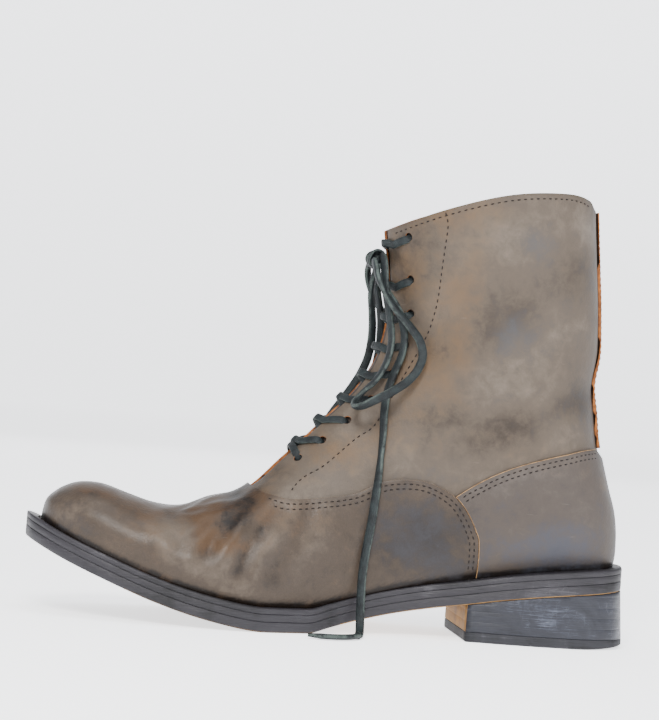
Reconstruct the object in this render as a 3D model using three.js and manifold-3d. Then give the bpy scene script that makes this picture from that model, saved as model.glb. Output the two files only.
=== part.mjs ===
import * as THREE from 'three';
import { mergeVertices } from 'three/addons/utils/BufferGeometryUtils.js';
import Module from 'manifold-3d';

const wasm = await Module();
wasm.setup();

// Driving sizes of the boot, in millimetres
const SOLE_LENGTH = 308;
const BALL_WIDTH = 103;
const SHAFT_HEIGHT = 192;
const HEEL_LIFT = 30;
const TOE_SPRING = 37.5;
const HEEL_LENGTH = 84;
const HEEL_FLARE = 2.6;
const HEEL_WEAR = 2.2;
const OUTSOLE_THICK = 5;
const MIDSOLE_THICK = 3.5;
const WELT_THICK = 3;
const TOP_PIECE_THICK = 4.8;
const LIFT_THICK = 5.4;
const LIFT_GROOVE = 0.6;
const INSOLE_THICK = 3;
const UPPER_WALL = 2.2;
const OVERLAY_THICK = 1.5;
const TONGUE_THICK = 2;
const TONGUE_WIDTH = 50;
const THROAT_GAP = 13;
const HOLE_DIAMETER = 4.4;
const HOLE_SETBACK = 19;
const LACE_START = 1.2;
const LACE_CLEAR = 1;
const LACE_DROP = 0.66;
const LACE_WIDTH = 4.2;
const LACE_THICK = 2.6;
const BACKSTAY_WIDTH = 9;
const BACKSTAY_FOOT = 30;
const THROAT_START = 0.648;
const TONGUE_DROP = 4;
const SEAT_DROP = 4;
const HEEL_WEAR_REACH = 26;
const TONGUE_DEPTH = 34;
const THROAT_REACH = 15;
const KNOT_LENGTH = 15;
const CORD_WIDTH = 3.2;
const FIT_GAP = 0.3;
const EDGE_ROUND = 0.7;
const LAYER_STEP = 0.8;

// The heel's back corner, measured from the origin at the centre of the heel's flat bottom
const HEEL_BACK = -41;

// A table is a list of rows under named columns
function table(columns, rows) {
  return rows.map((row) => Object.fromEntries(columns.map((column, i) => [column, row[i]])));
}

// Steps of the meshes
const MERGE_DISTANCE = 1e-4;
const PLATE_STEP = 1;
const SLIMMEST = 0.8;
const FLARE_REACH = 0.25;
const NORMAL_STEP = 0.02;
const RING_POINTS = 18;
const STATIONS_PER_ROW = 1;
const SLAB_STEPS = 13;
const ARC_STEP = 0.01;
const STRAND_STEPS = 5;
const HOLE_SIDES = 6;
const STAY_STEPS = 6;
const COLLAR_STEPS = 20;
const VAMP_STEPS = 26;
const COUNTER_STEPS = 12;
const CORD_SIDES = 8;
const CORD_STEP = 8;
const BEND_STEP = 5.6;
const RUN_REACH = 0.5;
const SLAB_TIP = 0.06;

// Shares at which shapes start, bend and end
const SOLE_ENDS = [-0.07, 1.07];
const BLOCK_FRONT = 1.1;
const THROAT_TAPER = 1.2;
const TONGUE_TAPER = 1.5;
const TONGUE_LEAD = 0.7;
const WEAR_POWER = 1.5;
const STAY = { foot: 0.2, curve: 0.5, neck: 0.7, top: 1.1 };

// Outline of the sole from the heel to the toe, x along its length, half and swing as shares of the ball width
const SOLE_OUTLINE = table(['x', 'half', 'swing'], [
  [0.0003, 0.03, 0],
  [0.008, 0.146, 0],
  [0.029, 0.238, 0],
  [0.071, 0.306, -0.002],
  [0.13, 0.33, -0.004],
  [0.2, 0.334, -0.008],
  [0.27, 0.32, -0.018],
  [0.335, 0.314, -0.03],
  [0.4, 0.328, -0.042],
  [0.47, 0.372, -0.048],
  [0.535, 0.44, -0.034],
  [0.595, 0.484, -0.01],
  [0.645, 0.5, 0.006],
  [0.69, 0.496, 0.02],
  [0.742, 0.472, 0.033],
  [0.794, 0.438, 0.047],
  [0.846, 0.394, 0.06],
  [0.89, 0.35, 0.072],
  [0.93, 0.296, 0.082],
  [0.96, 0.234, 0.09],
  [0.98, 0.172, 0.094],
  [0.9925, 0.108, 0.097],
  [0.9993, 0.034, 0.098],
]);

// Height of the outsole's underside, heel as a share of the heel lift and toe of the toe spring
const SOLE_PROFILE = table(['x', 'heel', 'toe'], [
  [-0.01, 1.01, 0],
  [0.036, 0.957, 0],
  [0.136, 0.85, 0],
  [0.211, 0.74, 0],
  [0.272, 0.623, 0],
  [0.336, 0.508, 0],
  [0.395, 0.385, 0],
  [0.453, 0.235, 0],
  [0.5, 0.1, 0],
  [0.535, -0.004, 0],
  [0.575, -0.012, 0],
  [0.62, 0, 0.004],
  [0.662, 0, 0.052],
  [0.73, 0, 0.168],
  [0.799, 0, 0.332],
  [0.867, 0, 0.535],
  [0.935, 0, 0.755],
  [1, 0, 1],
]);

// Sections of the upper, fanned from the toe up to the collar. Each runs from a point on the seat or the
// back seam, bx along the length and bz up the shaft, to a point on the ridge or the shaft's front, tx and tz.
// half, swing and ridge are shares of the ball width, widest is the place of the greatest width along the
// section, and lower and upper are the fullness of its two ends.
const SECTION_COLUMNS = ['bx', 'bz', 'tx', 'tz', 'half', 'swing', 'ridge', 'widest', 'lower', 'upper'];
const UPPER_SECTIONS = table(SECTION_COLUMNS, [
  [0.9682, 0, 0.9685, 0.0625, 0.045, 0.094, 0.094, 0.5, 3, 2.4],
  [0.9636, 0, 0.9643, 0.0859, 0.108, 0.093, 0.092, 0.48, 3.4, 2.4],
  [0.9539, 0, 0.9545, 0.1026, 0.165, 0.09, 0.09, 0.46, 3.8, 2.4],
  [0.937, 0, 0.9383, 0.1198, 0.221, 0.086, 0.086, 0.44, 4.2, 2.4],
  [0.9123, 0, 0.914, 0.1323, 0.274, 0.08, 0.08, 0.42, 4.6, 2.4],
  [0.8786, 0, 0.8799, 0.1307, 0.32, 0.07, 0.074, 0.4, 5, 2.3],
  [0.8377, 0, 0.8377, 0.1099, 0.362, 0.058, 0.066, 0.4, 5, 2.2],
  [0.7922, 0, 0.7938, 0.0906, 0.4, 0.045, 0.056, 0.4, 5, 2.15],
  [0.7468, 0, 0.75, 0.088, 0.426, 0.034, 0.048, 0.38, 5, 2.1],
  [0.6981, 0, 0.7045, 0.112, 0.442, 0.02, 0.042, 0.36, 5, 2],
  [0.6477, 0, 0.664, 0.1318, 0.444, 0.002, 0.036, 0.34, 5, 1.9],
  [0.5909, 0, 0.6282, 0.1745, 0.427, -0.015, 0.03, 0.33, 4.8, 1.8],
  [0.526, 0, 0.5958, 0.2349, 0.391, -0.034, 0.024, 0.32, 4.6, 1.74],
  [0.4513, 0, 0.561, 0.2964, 0.35, -0.042, 0.018, 0.33, 4.2, 1.7],
  [0.3766, 0, 0.5227, 0.3672, 0.322, -0.034, 0.013, 0.35, 3.8, 1.68],
  [0.3052, 0, 0.4857, 0.4323, 0.308, -0.024, 0.008, 0.37, 3.5, 1.68],
  [0.2338, 0, 0.4617, 0.4911, 0.304, -0.014, 0.004, 0.39, 3.2, 1.7],
  [0.1656, 0, 0.4474, 0.5417, 0.305, -0.008, 0.002, 0.41, 2.9, 1.72],
  [0.099, 0, 0.439, 0.5911, 0.308, -0.004, 0, 0.43, 2.6, 1.74],
  [0.0487, 0, 0.4354, 0.638, 0.312, -0.002, 0, 0.45, 2.4, 1.76],
  [0.0221, 0.036, 0.4347, 0.6823, 0.317, 0, 0, 0.46, 2.2, 1.78],
  [0.0182, 0.098, 0.4354, 0.7266, 0.322, 0, 0, 0.47, 2.12, 1.8],
  [0.0234, 0.171, 0.4383, 0.7682, 0.327, 0, 0, 0.48, 2.08, 1.82],
  [0.0373, 0.244, 0.4409, 0.8073, 0.333, 0, 0, 0.485, 2.05, 1.84],
  [0.0513, 0.322, 0.4442, 0.8438, 0.339, 0, 0, 0.49, 2, 1.86],
  [0.064, 0.401, 0.4474, 0.8802, 0.345, 0, 0, 0.49, 2, 1.88],
  [0.0718, 0.479, 0.4506, 0.9167, 0.351, 0, 0, 0.49, 2, 1.9],
  [0.0734, 0.557, 0.4532, 0.9531, 0.356, 0, 0, 0.49, 2, 1.92],
  [0.0708, 0.645, 0.4562, 0.9922, 0.361, 0, 0, 0.49, 2, 1.94],
  [0.0747, 0.739, 0.4588, 1.0339, 0.366, 0, 0, 0.49, 2, 1.95],
  [0.0818, 0.843, 0.4617, 1.0755, 0.37, 0, 0, 0.49, 2, 1.96],
  [0.0883, 0.947, 0.4643, 1.1172, 0.374, 0, 0, 0.49, 2, 1.98],
  [0.0942, 1.062, 0.4675, 1.1589, 0.376, 0, 0, 0.49, 2, 2],
  [0.1006, 1.166, 0.4708, 1.2057, 0.377, 0, 0, 0.49, 2, 2],
]);

// Collar line seen from the side, from behind the back seam to in front of the throat
const COLLAR_LINE = table(['x', 'z'], [
  [-0.1, 0.955],
  [0.05, 0.958],
  [0.095, 0.964],
  [0.1143, 0.988],
  [0.1604, 0.9964],
  [0.2575, 0.978],
  [0.3604, 0.9266],
  [0.4555, 0.858],
  [0.6, 0.745],
]);

// Edge of the vamp from the throat along the quarter and down to the sole ahead of the heel
const VAMP_LINE = table(['x', 'z'], [
  [0.7, 0.42],
  [0.668, 0.225],
  [0.645, 0.176],
  [0.624, 0.147],
  [0.594, 0.134],
  [0.561, 0.137],
  [0.475, 0.163],
  [0.424, 0.203],
  [0.3685, 0.2125],
  [0.3295, 0.196],
  [0.2977, 0.1625],
  [0.271, 0.097],
  [0.261, 0.027],
  [0.261, -0.25],
]);

// Top edge of the counter from behind the heel to under the vamp
const COUNTER_LINE = table(['x', 'z'], [
  [-0.1, 0.33],
  [0.0646, 0.3275],
  [0.135, 0.307],
  [0.2, 0.275],
  [0.25, 0.238],
  [0.292, 0.195],
  [0.34, 0.135],
]);

// Lace holes from the collar down: the height of the ridge on the hole's section, and the hole's distance
// from the facing's edge as a share of the greatest
const HOLES = table(['ridge', 'setback'], [
  [0.8974, 1],
  [0.794, 0.95],
  [0.7094, 0.92],
  [0.626, 0.84],
  [0.544, 0.74],
  [0.466, 0.63],
  [0.401, 0.55],
  [0.338, 0.5],
  [0.277, 0.42],
]);

// Smooth values between the rows of a table
function blend(a, b, c, d, t) {
  const enter = (c - a) / 2;
  const leave = (d - b) / 2;
  const square = t * t;
  const cube = square * t;
  return (2 * cube - 3 * square + 1) * b + (cube - 2 * square + t) * enter
    + (3 * square - 2 * cube) * c + (cube - square) * leave;
}

function rowAt(rows, place) {
  const i = Math.min(Math.max(Math.floor(place), 0), rows.length - 2);
  const a = rows[Math.max(i - 1, 0)];
  const b = rows[i];
  const c = rows[i + 1];
  const d = rows[Math.min(i + 2, rows.length - 1)];
  const row = {};
  for (const key of Object.keys(b)) row[key] = blend(a[key], b[key], c[key], d[key], place - i);
  return row;
}

function placeWhere(rows, key, value) {
  const rising = rows[rows.length - 1][key] > rows[0][key];
  let low = 0;
  let high = rows.length - 1;
  for (let step = 0; step < 40; step += 1) {
    const middle = (low + high) / 2;
    if ((rowAt(rows, middle)[key] < value) === rising) low = middle;
    else high = middle;
  }
  return low;
}

const TOE_ROW = SOLE_OUTLINE.length - 1;

// Heights of the sole's layers along its length
const alongSole = (share) => HEEL_BACK + share * SOLE_LENGTH;

function underside(x) {
  const row = rowAt(SOLE_PROFILE, placeWhere(SOLE_PROFILE, 'x', (x - HEEL_BACK) / SOLE_LENGTH));
  return Math.max(0, row.heel * HEEL_LIFT + row.toe * TOE_SPRING);
}

const outsoleTop = (x) => underside(x) + OUTSOLE_THICK;
const midsoleFoot = (x) => outsoleTop(x) + FIT_GAP;
const midsoleTop = (x) => midsoleFoot(x) + MIDSOLE_THICK;
const seat = (x) => midsoleTop(x) + FIT_GAP;
const SEAT_DATUM = HEEL_LIFT + OUTSOLE_THICK + MIDSOLE_THICK;
const upShaft = (share) => SEAT_DATUM + share * SHAFT_HEIGHT;

// Closed meshes from rings of points, each ring with the same count
function loft(rings) {
  const count = rings[0].length;
  const positions = [];
  for (const ring of rings) for (const point of ring) positions.push(point.x, point.y, point.z);
  const faces = [];
  for (let i = 0; i + 1 < rings.length; i += 1) {
    for (let j = 0; j < count; j += 1) {
      const a = i * count + j;
      const b = i * count + (j + 1) % count;
      faces.push(a, b, b + count, a, b + count, a + count);
    }
  }
  const ends = [[0, true], [rings.length - 1, false]];
  for (const [end, flip] of ends) {
    const centre = new THREE.Vector3();
    for (const point of rings[end]) centre.addScaledVector(point, 1 / count);
    const middle = positions.length / 3;
    positions.push(centre.x, centre.y, centre.z);
    for (let j = 0; j < count; j += 1) {
      const a = end * count + j;
      const b = end * count + (j + 1) % count;
      if (flip) faces.push(middle, b, a);
      else faces.push(middle, a, b);
    }
  }
  const geometry = new THREE.BufferGeometry();
  geometry.setAttribute('position', new THREE.Float32BufferAttribute(positions, 3));
  geometry.setIndex(faces);
  return geometry;
}

function signedVolume(geometry) {
  const points = geometry.getAttribute('position');
  const index = geometry.getIndex();
  const a = new THREE.Vector3();
  const b = new THREE.Vector3();
  const c = new THREE.Vector3();
  let volume = 0;
  for (let i = 0; i < index.count; i += 3) {
    a.fromBufferAttribute(points, index.getX(i));
    b.fromBufferAttribute(points, index.getX(i + 1));
    c.fromBufferAttribute(points, index.getX(i + 2));
    volume += a.dot(b.cross(c)) / 6;
  }
  return volume;
}

// A solid for joins and cuts, with its faces turned outwards
function solid(geometry) {
  const plain = geometry.clone();
  plain.deleteAttribute('normal');
  plain.deleteAttribute('uv');
  const merged = mergeVertices(plain, MERGE_DISTANCE);
  const triVerts = Uint32Array.from(merged.getIndex().array);
  if (signedVolume(merged) < 0) triVerts.reverse();
  const vertProperties = Float32Array.from(merged.getAttribute('position').array);
  return new wasm.Manifold(new wasm.Mesh({ numProp: 3, vertProperties, triVerts }));
}

function geometryOf(body) {
  const mesh = body.getMesh();
  const geometry = new THREE.BufferGeometry();
  geometry.setAttribute('position', new THREE.BufferAttribute(Float32Array.from(mesh.vertProperties), 3));
  geometry.setIndex(new THREE.BufferAttribute(Uint32Array.from(mesh.triVerts), 1));
  return geometry;
}

// A plate inside the sole's outline between two heights, with its edges slightly rounded
function plate({ to = TOE_ROW, inset = 0, flare = 0, low, high }) {
  const rings = [];
  const count = Math.ceil(to / PLATE_STEP);
  for (let i = 0; i <= count; i += 1) {
    const row = rowAt(SOLE_OUTLINE, to * i / count);
    const centre = row.swing * BALL_WIDTH;
    const inward = inset * (1 - 2 * row.x);
    const x = alongSole(row.x) + inward - flare * Math.max(0, 1 - row.x / FLARE_REACH);
    const half = Math.max(row.half * BALL_WIDTH - inset, SLIMMEST);
    const trim = Math.min(EDGE_ROUND, half / 2);
    const z0 = low(x);
    const z1 = high(x);
    rings.push([
      new THREE.Vector3(x, centre - half + trim, z0),
      new THREE.Vector3(x, centre + half - trim, z0),
      new THREE.Vector3(x, centre + half, z0 + trim),
      new THREE.Vector3(x, centre + half, z1 - trim),
      new THREE.Vector3(x, centre + half - trim, z1),
      new THREE.Vector3(x, centre - half + trim, z1),
      new THREE.Vector3(x, centre - half, z1 - trim),
      new THREE.Vector3(x, centre - half, z0 + trim),
    ]);
  }
  return solid(loft(rings));
}

// Wide blocks bounded by a line seen from the side, from that line down or up to a level
function sideBlock(line, level) {
  const shape = new THREE.Shape();
  shape.moveTo(line[0].x, level);
  for (const point of line) shape.lineTo(point.x, point.z);
  shape.lineTo(line[line.length - 1].x, level);
  shape.closePath();
  const geometry = new THREE.ExtrudeGeometry(shape, { depth: 2 * BALL_WIDTH, bevelEnabled: false });
  geometry.translate(0, 0, -BALL_WIDTH);
  geometry.rotateX(Math.PI / 2);
  return solid(geometry);
}

function sideLine(rows, steps, lift = 0) {
  const points = [];
  for (let i = 0; i <= steps; i += 1) {
    const row = rowAt(rows, (rows.length - 1) * i / steps);
    points.push({ x: alongSole(row.x), z: upShaft(row.z) + lift });
  }
  return points;
}

function soleLine(height) {
  const shares = [SOLE_ENDS[0]];
  const count = Math.ceil(TOE_ROW / PLATE_STEP);
  for (let i = 0; i <= count; i += 1) shares.push(rowAt(SOLE_OUTLINE, TOE_ROW * i / count).x);
  shares.push(SOLE_ENDS[1]);
  return shares.map((share) => ({ x: alongSole(share), z: height(alongSole(share)) }));
}

// A point of the upper's form, at a place in the table of sections and an angle around the section
function formPoint(place, angle) {
  const row = rowAt(UPPER_SECTIONS, place);
  const bx = alongSole(row.bx);
  const bz = seat(bx) - SEAT_DROP + row.bz * SHAFT_HEIGHT;
  const tx = alongSole(row.tx);
  const tz = upShaft(row.tz);
  const rise = Math.sin(angle);
  const side = Math.cos(angle);
  const power = 2 / (rise < 0 ? row.lower : row.upper);
  const reach = Math.abs(rise) ** power;
  const along = rise < 0 ? row.widest * (1 - reach) : row.widest + (1 - row.widest) * reach;
  const across = Math.sign(side) * Math.abs(side) ** power * row.half;
  const centre = row.swing + (row.ridge - row.swing) * along;
  return new THREE.Vector3(bx + (tx - bx) * along, BALL_WIDTH * (centre + across), bz + (tz - bz) * along);
}

const LAST_ROW = UPPER_SECTIONS.length - 1;

function formNormal(place, angle) {
  const before = formPoint(Math.max(place - NORMAL_STEP, 0), angle);
  const after = formPoint(Math.min(place + NORMAL_STEP, LAST_ROW), angle);
  const left = formPoint(place, angle - NORMAL_STEP);
  const right = formPoint(place, angle + NORMAL_STEP);
  return after.sub(before).cross(right.sub(left)).normalize();
}

function offsetPoint(place, angle, offset) {
  return formPoint(place, angle).addScaledVector(formNormal(place, angle), offset);
}

// The closed form of the upper, grown or shrunk along its surface
function form(offset) {
  const rings = [];
  const count = LAST_ROW * STATIONS_PER_ROW;
  for (let i = 0; i <= count; i += 1) {
    const ring = [];
    for (let j = 0; j < RING_POINTS; j += 1) {
      const angle = -Math.PI / 2 + 2 * Math.PI * j / RING_POINTS;
      ring.push(offsetPoint(i / STATIONS_PER_ROW, angle, offset));
    }
    rings.push(ring);
  }
  return solid(loft(rings));
}

// A slab along the ridge, for the throat's opening and the tongue
function ridgeSlab({ from, to, half, inward, outward, taper }) {
  const rings = [];
  for (let i = 0; i <= SLAB_STEPS; i += 1) {
    const place = from + (to - from) * i / SLAB_STEPS;
    const crest = formPoint(place, Math.PI / 2);
    const ahead = formPoint(place + RUN_REACH, Math.PI / 2);
    const behind = formPoint(place - RUN_REACH, Math.PI / 2);
    const run = ahead.sub(behind).setY(0).normalize();
    const out = new THREE.Vector3(run.z, 0, -run.x);
    const width = half * Math.min(1, Math.sqrt((place - from) / taper + SLAB_TIP));
    const corner = (reach, side) => crest.clone().addScaledVector(out, reach).add(new THREE.Vector3(0, side, 0));
    rings.push([
      corner(-inward, -width),
      corner(outward, -width),
      corner(outward, width),
      corner(-inward, width),
    ]);
  }
  return solid(loft(rings));
}

// Where a lace hole or a lace lies, at an arc length from the ridge
function angleAtArc(place, arc) {
  const sign = Math.sign(arc);
  let walked = 0;
  let angle = Math.PI / 2;
  let last = formPoint(place, angle);
  while (walked < Math.abs(arc)) {
    angle -= sign * ARC_STEP;
    const next = formPoint(place, angle);
    walked += next.distanceTo(last);
    last = next;
  }
  return angle;
}

const holePlaces = HOLES.map((hole) => placeWhere(UPPER_SECTIONS, 'tz', hole.ridge));
const holeArcs = HOLES.map((hole) => THROAT_GAP / 2 + hole.setback * HOLE_SETBACK);

function holeCutter(i, side) {
  const angle = angleAtArc(holePlaces[i], side * holeArcs[i]);
  const centre = formPoint(holePlaces[i], angle);
  const normal = formNormal(holePlaces[i], angle);
  const punch = new THREE.CylinderGeometry(HOLE_DIAMETER / 2, HOLE_DIAMETER / 2, 4 * UPPER_WALL, HOLE_SIDES);
  punch.applyQuaternion(new THREE.Quaternion().setFromUnitVectors(new THREE.Vector3(0, 1, 0), normal));
  punch.translate(centre.x, centre.y, centre.z);
  return solid(punch);
}

// A flat lace along points, each with the direction that its broad face looks
function laceStrip(points, normals) {
  const rings = points.map((point, i) => {
    const before = points[Math.max(i - 1, 0)];
    const after = points[Math.min(i + 1, points.length - 1)];
    const run = after.clone().sub(before).normalize();
    const across = run.clone().cross(normals[i]).normalize();
    const up = across.clone().cross(run).normalize();
    across.multiplyScalar(LACE_WIDTH / 2);
    up.multiplyScalar(LACE_THICK / 2);
    const corner = (side, face) => point.clone().addScaledVector(across, side).addScaledVector(up, face);
    return [corner(-1, -1), corner(1, -1), corner(1, 1), corner(-1, 1)];
  });
  return solid(loft(rings));
}

function laceStrand(fromHole, toHole, fromArc, toArc) {
  const points = [];
  const normals = [];
  for (let i = 0; i <= STRAND_STEPS; i += 1) {
    const t = i / STRAND_STEPS;
    const place = holePlaces[fromHole] + (holePlaces[toHole] - holePlaces[fromHole]) * t * LACE_DROP;
    const angle = angleAtArc(place, fromArc + (toArc - fromArc) * t);
    points.push(offsetPoint(place, angle, FIT_GAP + LACE_THICK / 2));
    normals.push(formNormal(place, angle));
  }
  return laceStrip(points, normals);
}

// Two strands that cross over the throat, each from a hole to the far facing's edge at the next hole down
function laceCrossing(i) {
  const start = holeArcs[i] - LACE_START;
  const end = THROAT_GAP / 2 - LACE_CLEAR;
  return laceStrand(i, i + 1, start, -end).add(laceStrand(i, i + 1, -start, end));
}

// The pieces
const base = form(0);
const inner = form(-UPPER_WALL);
const overlayFoot = form(FIT_GAP);
const overlayTop = form(FIT_GAP + OVERLAY_THICK);
const belowSeat = sideBlock(soleLine(seat), -SHAFT_HEIGHT);
const aboveCollar = sideBlock(sideLine(COLLAR_LINE, COLLAR_STEPS), 2 * SHAFT_HEIGHT);

const outsole = plate({ low: underside, high: outsoleTop });
const midsole = plate({ inset: LAYER_STEP, low: midsoleFoot, high: midsoleTop });
const weltBlank = plate({ inset: LAYER_STEP / 2, low: seat, high: (x) => seat(x) + WELT_THICK });
const welt = weltBlank.subtract(form(2 * FIT_GAP + OVERLAY_THICK));
const insoleBlank = plate({ inset: LAYER_STEP, low: seat, high: (x) => seat(x) + INSOLE_THICK });
const insole = insoleBlank.intersect(form(-UPPER_WALL - FIT_GAP));

// The heel, stacked lifts with a groove at each joint and a rubber top piece worn at its back
const BREAST_ROW = placeWhere(SOLE_OUTLINE, 'x', HEEL_LENGTH / SOLE_LENGTH);
const wear = (x) => HEEL_WEAR * Math.max(0, 1 - (x - HEEL_BACK) / HEEL_WEAR_REACH) ** WEAR_POWER;
const topPiece = plate({ to: BREAST_ROW, flare: HEEL_FLARE, low: wear, high: () => TOP_PIECE_THICK });
const stackFoot = TOP_PIECE_THICK + FIT_GAP;
const liftCount = Math.ceil((HEEL_LIFT + 1 - stackFoot) / LIFT_THICK);
let stack = plate({
  to: BREAST_ROW,
  inset: LIFT_GROOVE,
  low: () => stackFoot + LIFT_GROOVE,
  high: () => stackFoot + liftCount * LIFT_THICK,
});
for (let i = 0; i < liftCount; i += 1) {
  const foot = stackFoot + i * LIFT_THICK;
  const flare = HEEL_FLARE * (1 - (i + 1) / liftCount);
  stack = stack.add(plate({ to: BREAST_ROW, flare, low: () => foot, high: () => foot + LIFT_THICK - LIFT_GROOVE }));
}
const heelStack = stack.intersect(sideBlock(soleLine((x) => underside(x) - FIT_GAP), -SHAFT_HEIGHT));

// The hollow upper, open underneath, at the collar and at the throat, with its punched lace holes
const THROAT_ROW = placeWhere(UPPER_SECTIONS, 'tx', THROAT_START);
let upper = base.subtract(inner).subtract(belowSeat).subtract(aboveCollar);
upper = upper.subtract(ridgeSlab({
  from: THROAT_ROW,
  to: LAST_ROW - 1,
  half: THROAT_GAP / 2,
  inward: THROAT_REACH,
  outward: THROAT_REACH,
  taper: THROAT_TAPER,
}));
for (let i = 0; i < HOLES.length; i += 1) {
  for (const side of [-1, 1]) upper = upper.subtract(holeCutter(i, side));
}

// Overlays cut between two larger forms: the vamp ahead of its edge, the counter and the backstay
function vampBlock(growth) {
  const line = sideLine(VAMP_LINE, VAMP_STEPS).map((point) => ({ x: point.x - growth, z: point.z + growth }));
  const foot = line[line.length - 1];
  const shape = new THREE.Shape();
  shape.moveTo(line[0].x, line[0].z);
  for (const point of line.slice(1)) shape.lineTo(point.x, point.z);
  shape.lineTo(alongSole(BLOCK_FRONT), foot.z);
  shape.lineTo(alongSole(BLOCK_FRONT), line[0].z);
  shape.closePath();
  const geometry = new THREE.ExtrudeGeometry(shape, { depth: 2 * BALL_WIDTH, bevelEnabled: false });
  geometry.translate(0, 0, -BALL_WIDTH);
  geometry.rotateX(Math.PI / 2);
  return solid(geometry);
}

const shell = overlayTop.subtract(overlayFoot).subtract(belowSeat);
const vamp = shell.intersect(vampBlock(0));
const counterBlock = sideBlock(sideLine(COUNTER_LINE, COUNTER_STEPS), -SHAFT_HEIGHT);
const counter = shell.intersect(counterBlock).subtract(vampBlock(FIT_GAP));

const stayHalf = BACKSTAY_WIDTH / 2;
const stayFoot = BACKSTAY_FOOT / 2;
const stayShape = new THREE.Shape();
stayShape.moveTo(-stayFoot, upShaft(STAY.foot));
stayShape.lineTo(stayFoot, upShaft(STAY.foot));
stayShape.quadraticCurveTo(stayHalf, upShaft(STAY.curve), stayHalf, upShaft(STAY.neck));
stayShape.lineTo(stayHalf, upShaft(STAY.top));
stayShape.lineTo(-stayHalf, upShaft(STAY.top));
stayShape.lineTo(-stayHalf, upShaft(STAY.neck));
stayShape.quadraticCurveTo(-stayHalf, upShaft(STAY.curve), -stayFoot, upShaft(STAY.foot));
const stayBlank = new THREE.ExtrudeGeometry(stayShape, {
  depth: HEEL_LENGTH / 2,
  curveSegments: STAY_STEPS,
  bevelEnabled: false,
});
stayBlank.applyMatrix4(new THREE.Matrix4().set(0, 0, 1, HEEL_BACK, 1, 0, 0, 0, 0, 1, 0, 0, 0, 0, 0, 1));
const aboveCounter = sideBlock(sideLine(COUNTER_LINE, COUNTER_STEPS, FIT_GAP), 2 * SHAFT_HEIGHT);
const backstay = shell.intersect(solid(stayBlank)).intersect(aboveCounter).subtract(aboveCollar);

// The tongue, under the facings
const tongueOutside = form(-UPPER_WALL - FIT_GAP);
const tongueInside = form(-UPPER_WALL - FIT_GAP - TONGUE_THICK);
const aboveTongue = sideBlock(sideLine(COLLAR_LINE, COLLAR_STEPS, -TONGUE_DROP), 2 * SHAFT_HEIGHT);
const tongueSlab = ridgeSlab({
  from: THROAT_ROW - TONGUE_LEAD,
  to: LAST_ROW - 1,
  half: TONGUE_WIDTH / 2,
  inward: TONGUE_DEPTH,
  outward: UPPER_WALL,
  taper: TONGUE_TAPER,
});
const tongue = tongueOutside.subtract(tongueInside).intersect(tongueSlab).subtract(aboveTongue);

// Lace crossings from the collar down, and the bar at the lowest holes
const crossings = [];
for (let i = 0; i + 1 < HOLES.length; i += 1) crossings.push(laceCrossing(i));
const lowest = HOLES.length - 1;
const barArc = holeArcs[lowest] - LACE_START;
crossings.push(laceStrand(lowest, lowest, barArc, -barArc));

// The bow. Its knot sits on the throat between the two top crossings, and its loops and ends hang from
// the knot down both sides. The longer end goes over the sole's edge and lies on the floor.
const route = (points) => points.map(([x, y, z]) => new THREE.Vector3(x, y, z));
const LOOP_NEAR = route([
  [97.1, 7.9, 191.4], [97.1, 10.6, 191.3], [97, 14.2, 190], [96.8, 16.9, 187], [96.4, 17.9, 182.6],
  [95.5, 17.6, 176], [93.9, 16.8, 168.5], [91.8, 16.6, 159.7], [90.3, 17.2, 149.6],
  [91.2, 17.7, 140.4], [94.2, 18, 132.5], [97.8, 17.8, 126.9], [101.9, 17.7, 122.7],
  [106, 20, 117.5], [107.4, 26.3, 114.2], [104.2, 32.6, 114.9], [99, 34.7, 118], [92.8, 33, 121.4],
  [86.9, 30.2, 125], [81.3, 27.6, 129.4], [76.9, 25.9, 135.2], [74.9, 25.6, 142],
  [76.8, 25.3, 149.4], [82.3, 24.9, 156.3], [88.6, 23.6, 163.1], [94.2, 22.6, 169.6],
  [98, 21.3, 176], [100.2, 19.2, 181.2], [101, 16.4, 185.4], [101.2, 13, 187.8],
  [101.2, 10.2, 188.4], [101.2, 7.9, 188.4],
]);
const LOOP_FAR = route([
  [101.2, -7.9, 188.4], [101.2, -10.4, 188.4], [101.1, -13.8, 187.3], [100.8, -17, 184.4],
  [99.8, -19.6, 180], [97.6, -21.3, 174.6], [94, -22, 168.2], [89, -21.6, 161.7],
  [83.3, -21.9, 155.2], [78, -23.3, 148], [74.5, -24.6, 139.8], [73, -25.2, 131],
  [74.7, -25.6, 122.3], [80, -25.2, 115.8], [86.4, -23.7, 114.5], [91.7, -21.2, 118.6],
  [93.5, -18.8, 127], [92.5, -17.8, 136], [91.5, -17.2, 147], [91.8, -16.9, 158],
  [93.6, -17, 168.5], [95.3, -17.7, 177], [96.4, -17.9, 182.8], [96.8, -16.9, 187.2],
  [97, -14.2, 190.1], [97.1, -10.6, 191.4], [97.1, -7.9, 191.4],
]);
const END_SHORT = route([
  [98.6, -3.8, 185.6], [98.8, -3.9, 183.2], [99.4, -5.4, 178.6], [99.2, -8, 171.5],
  [97.8, -10.8, 164], [96.7, -12.8, 156], [96.5, -14.2, 147.5], [97.6, -15.4, 139],
  [100.4, -16.2, 131], [104.4, -16.8, 123.5], [109, -17.4, 116.5], [113.6, -18, 109.8],
  [118, -18.8, 103],
]);
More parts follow.
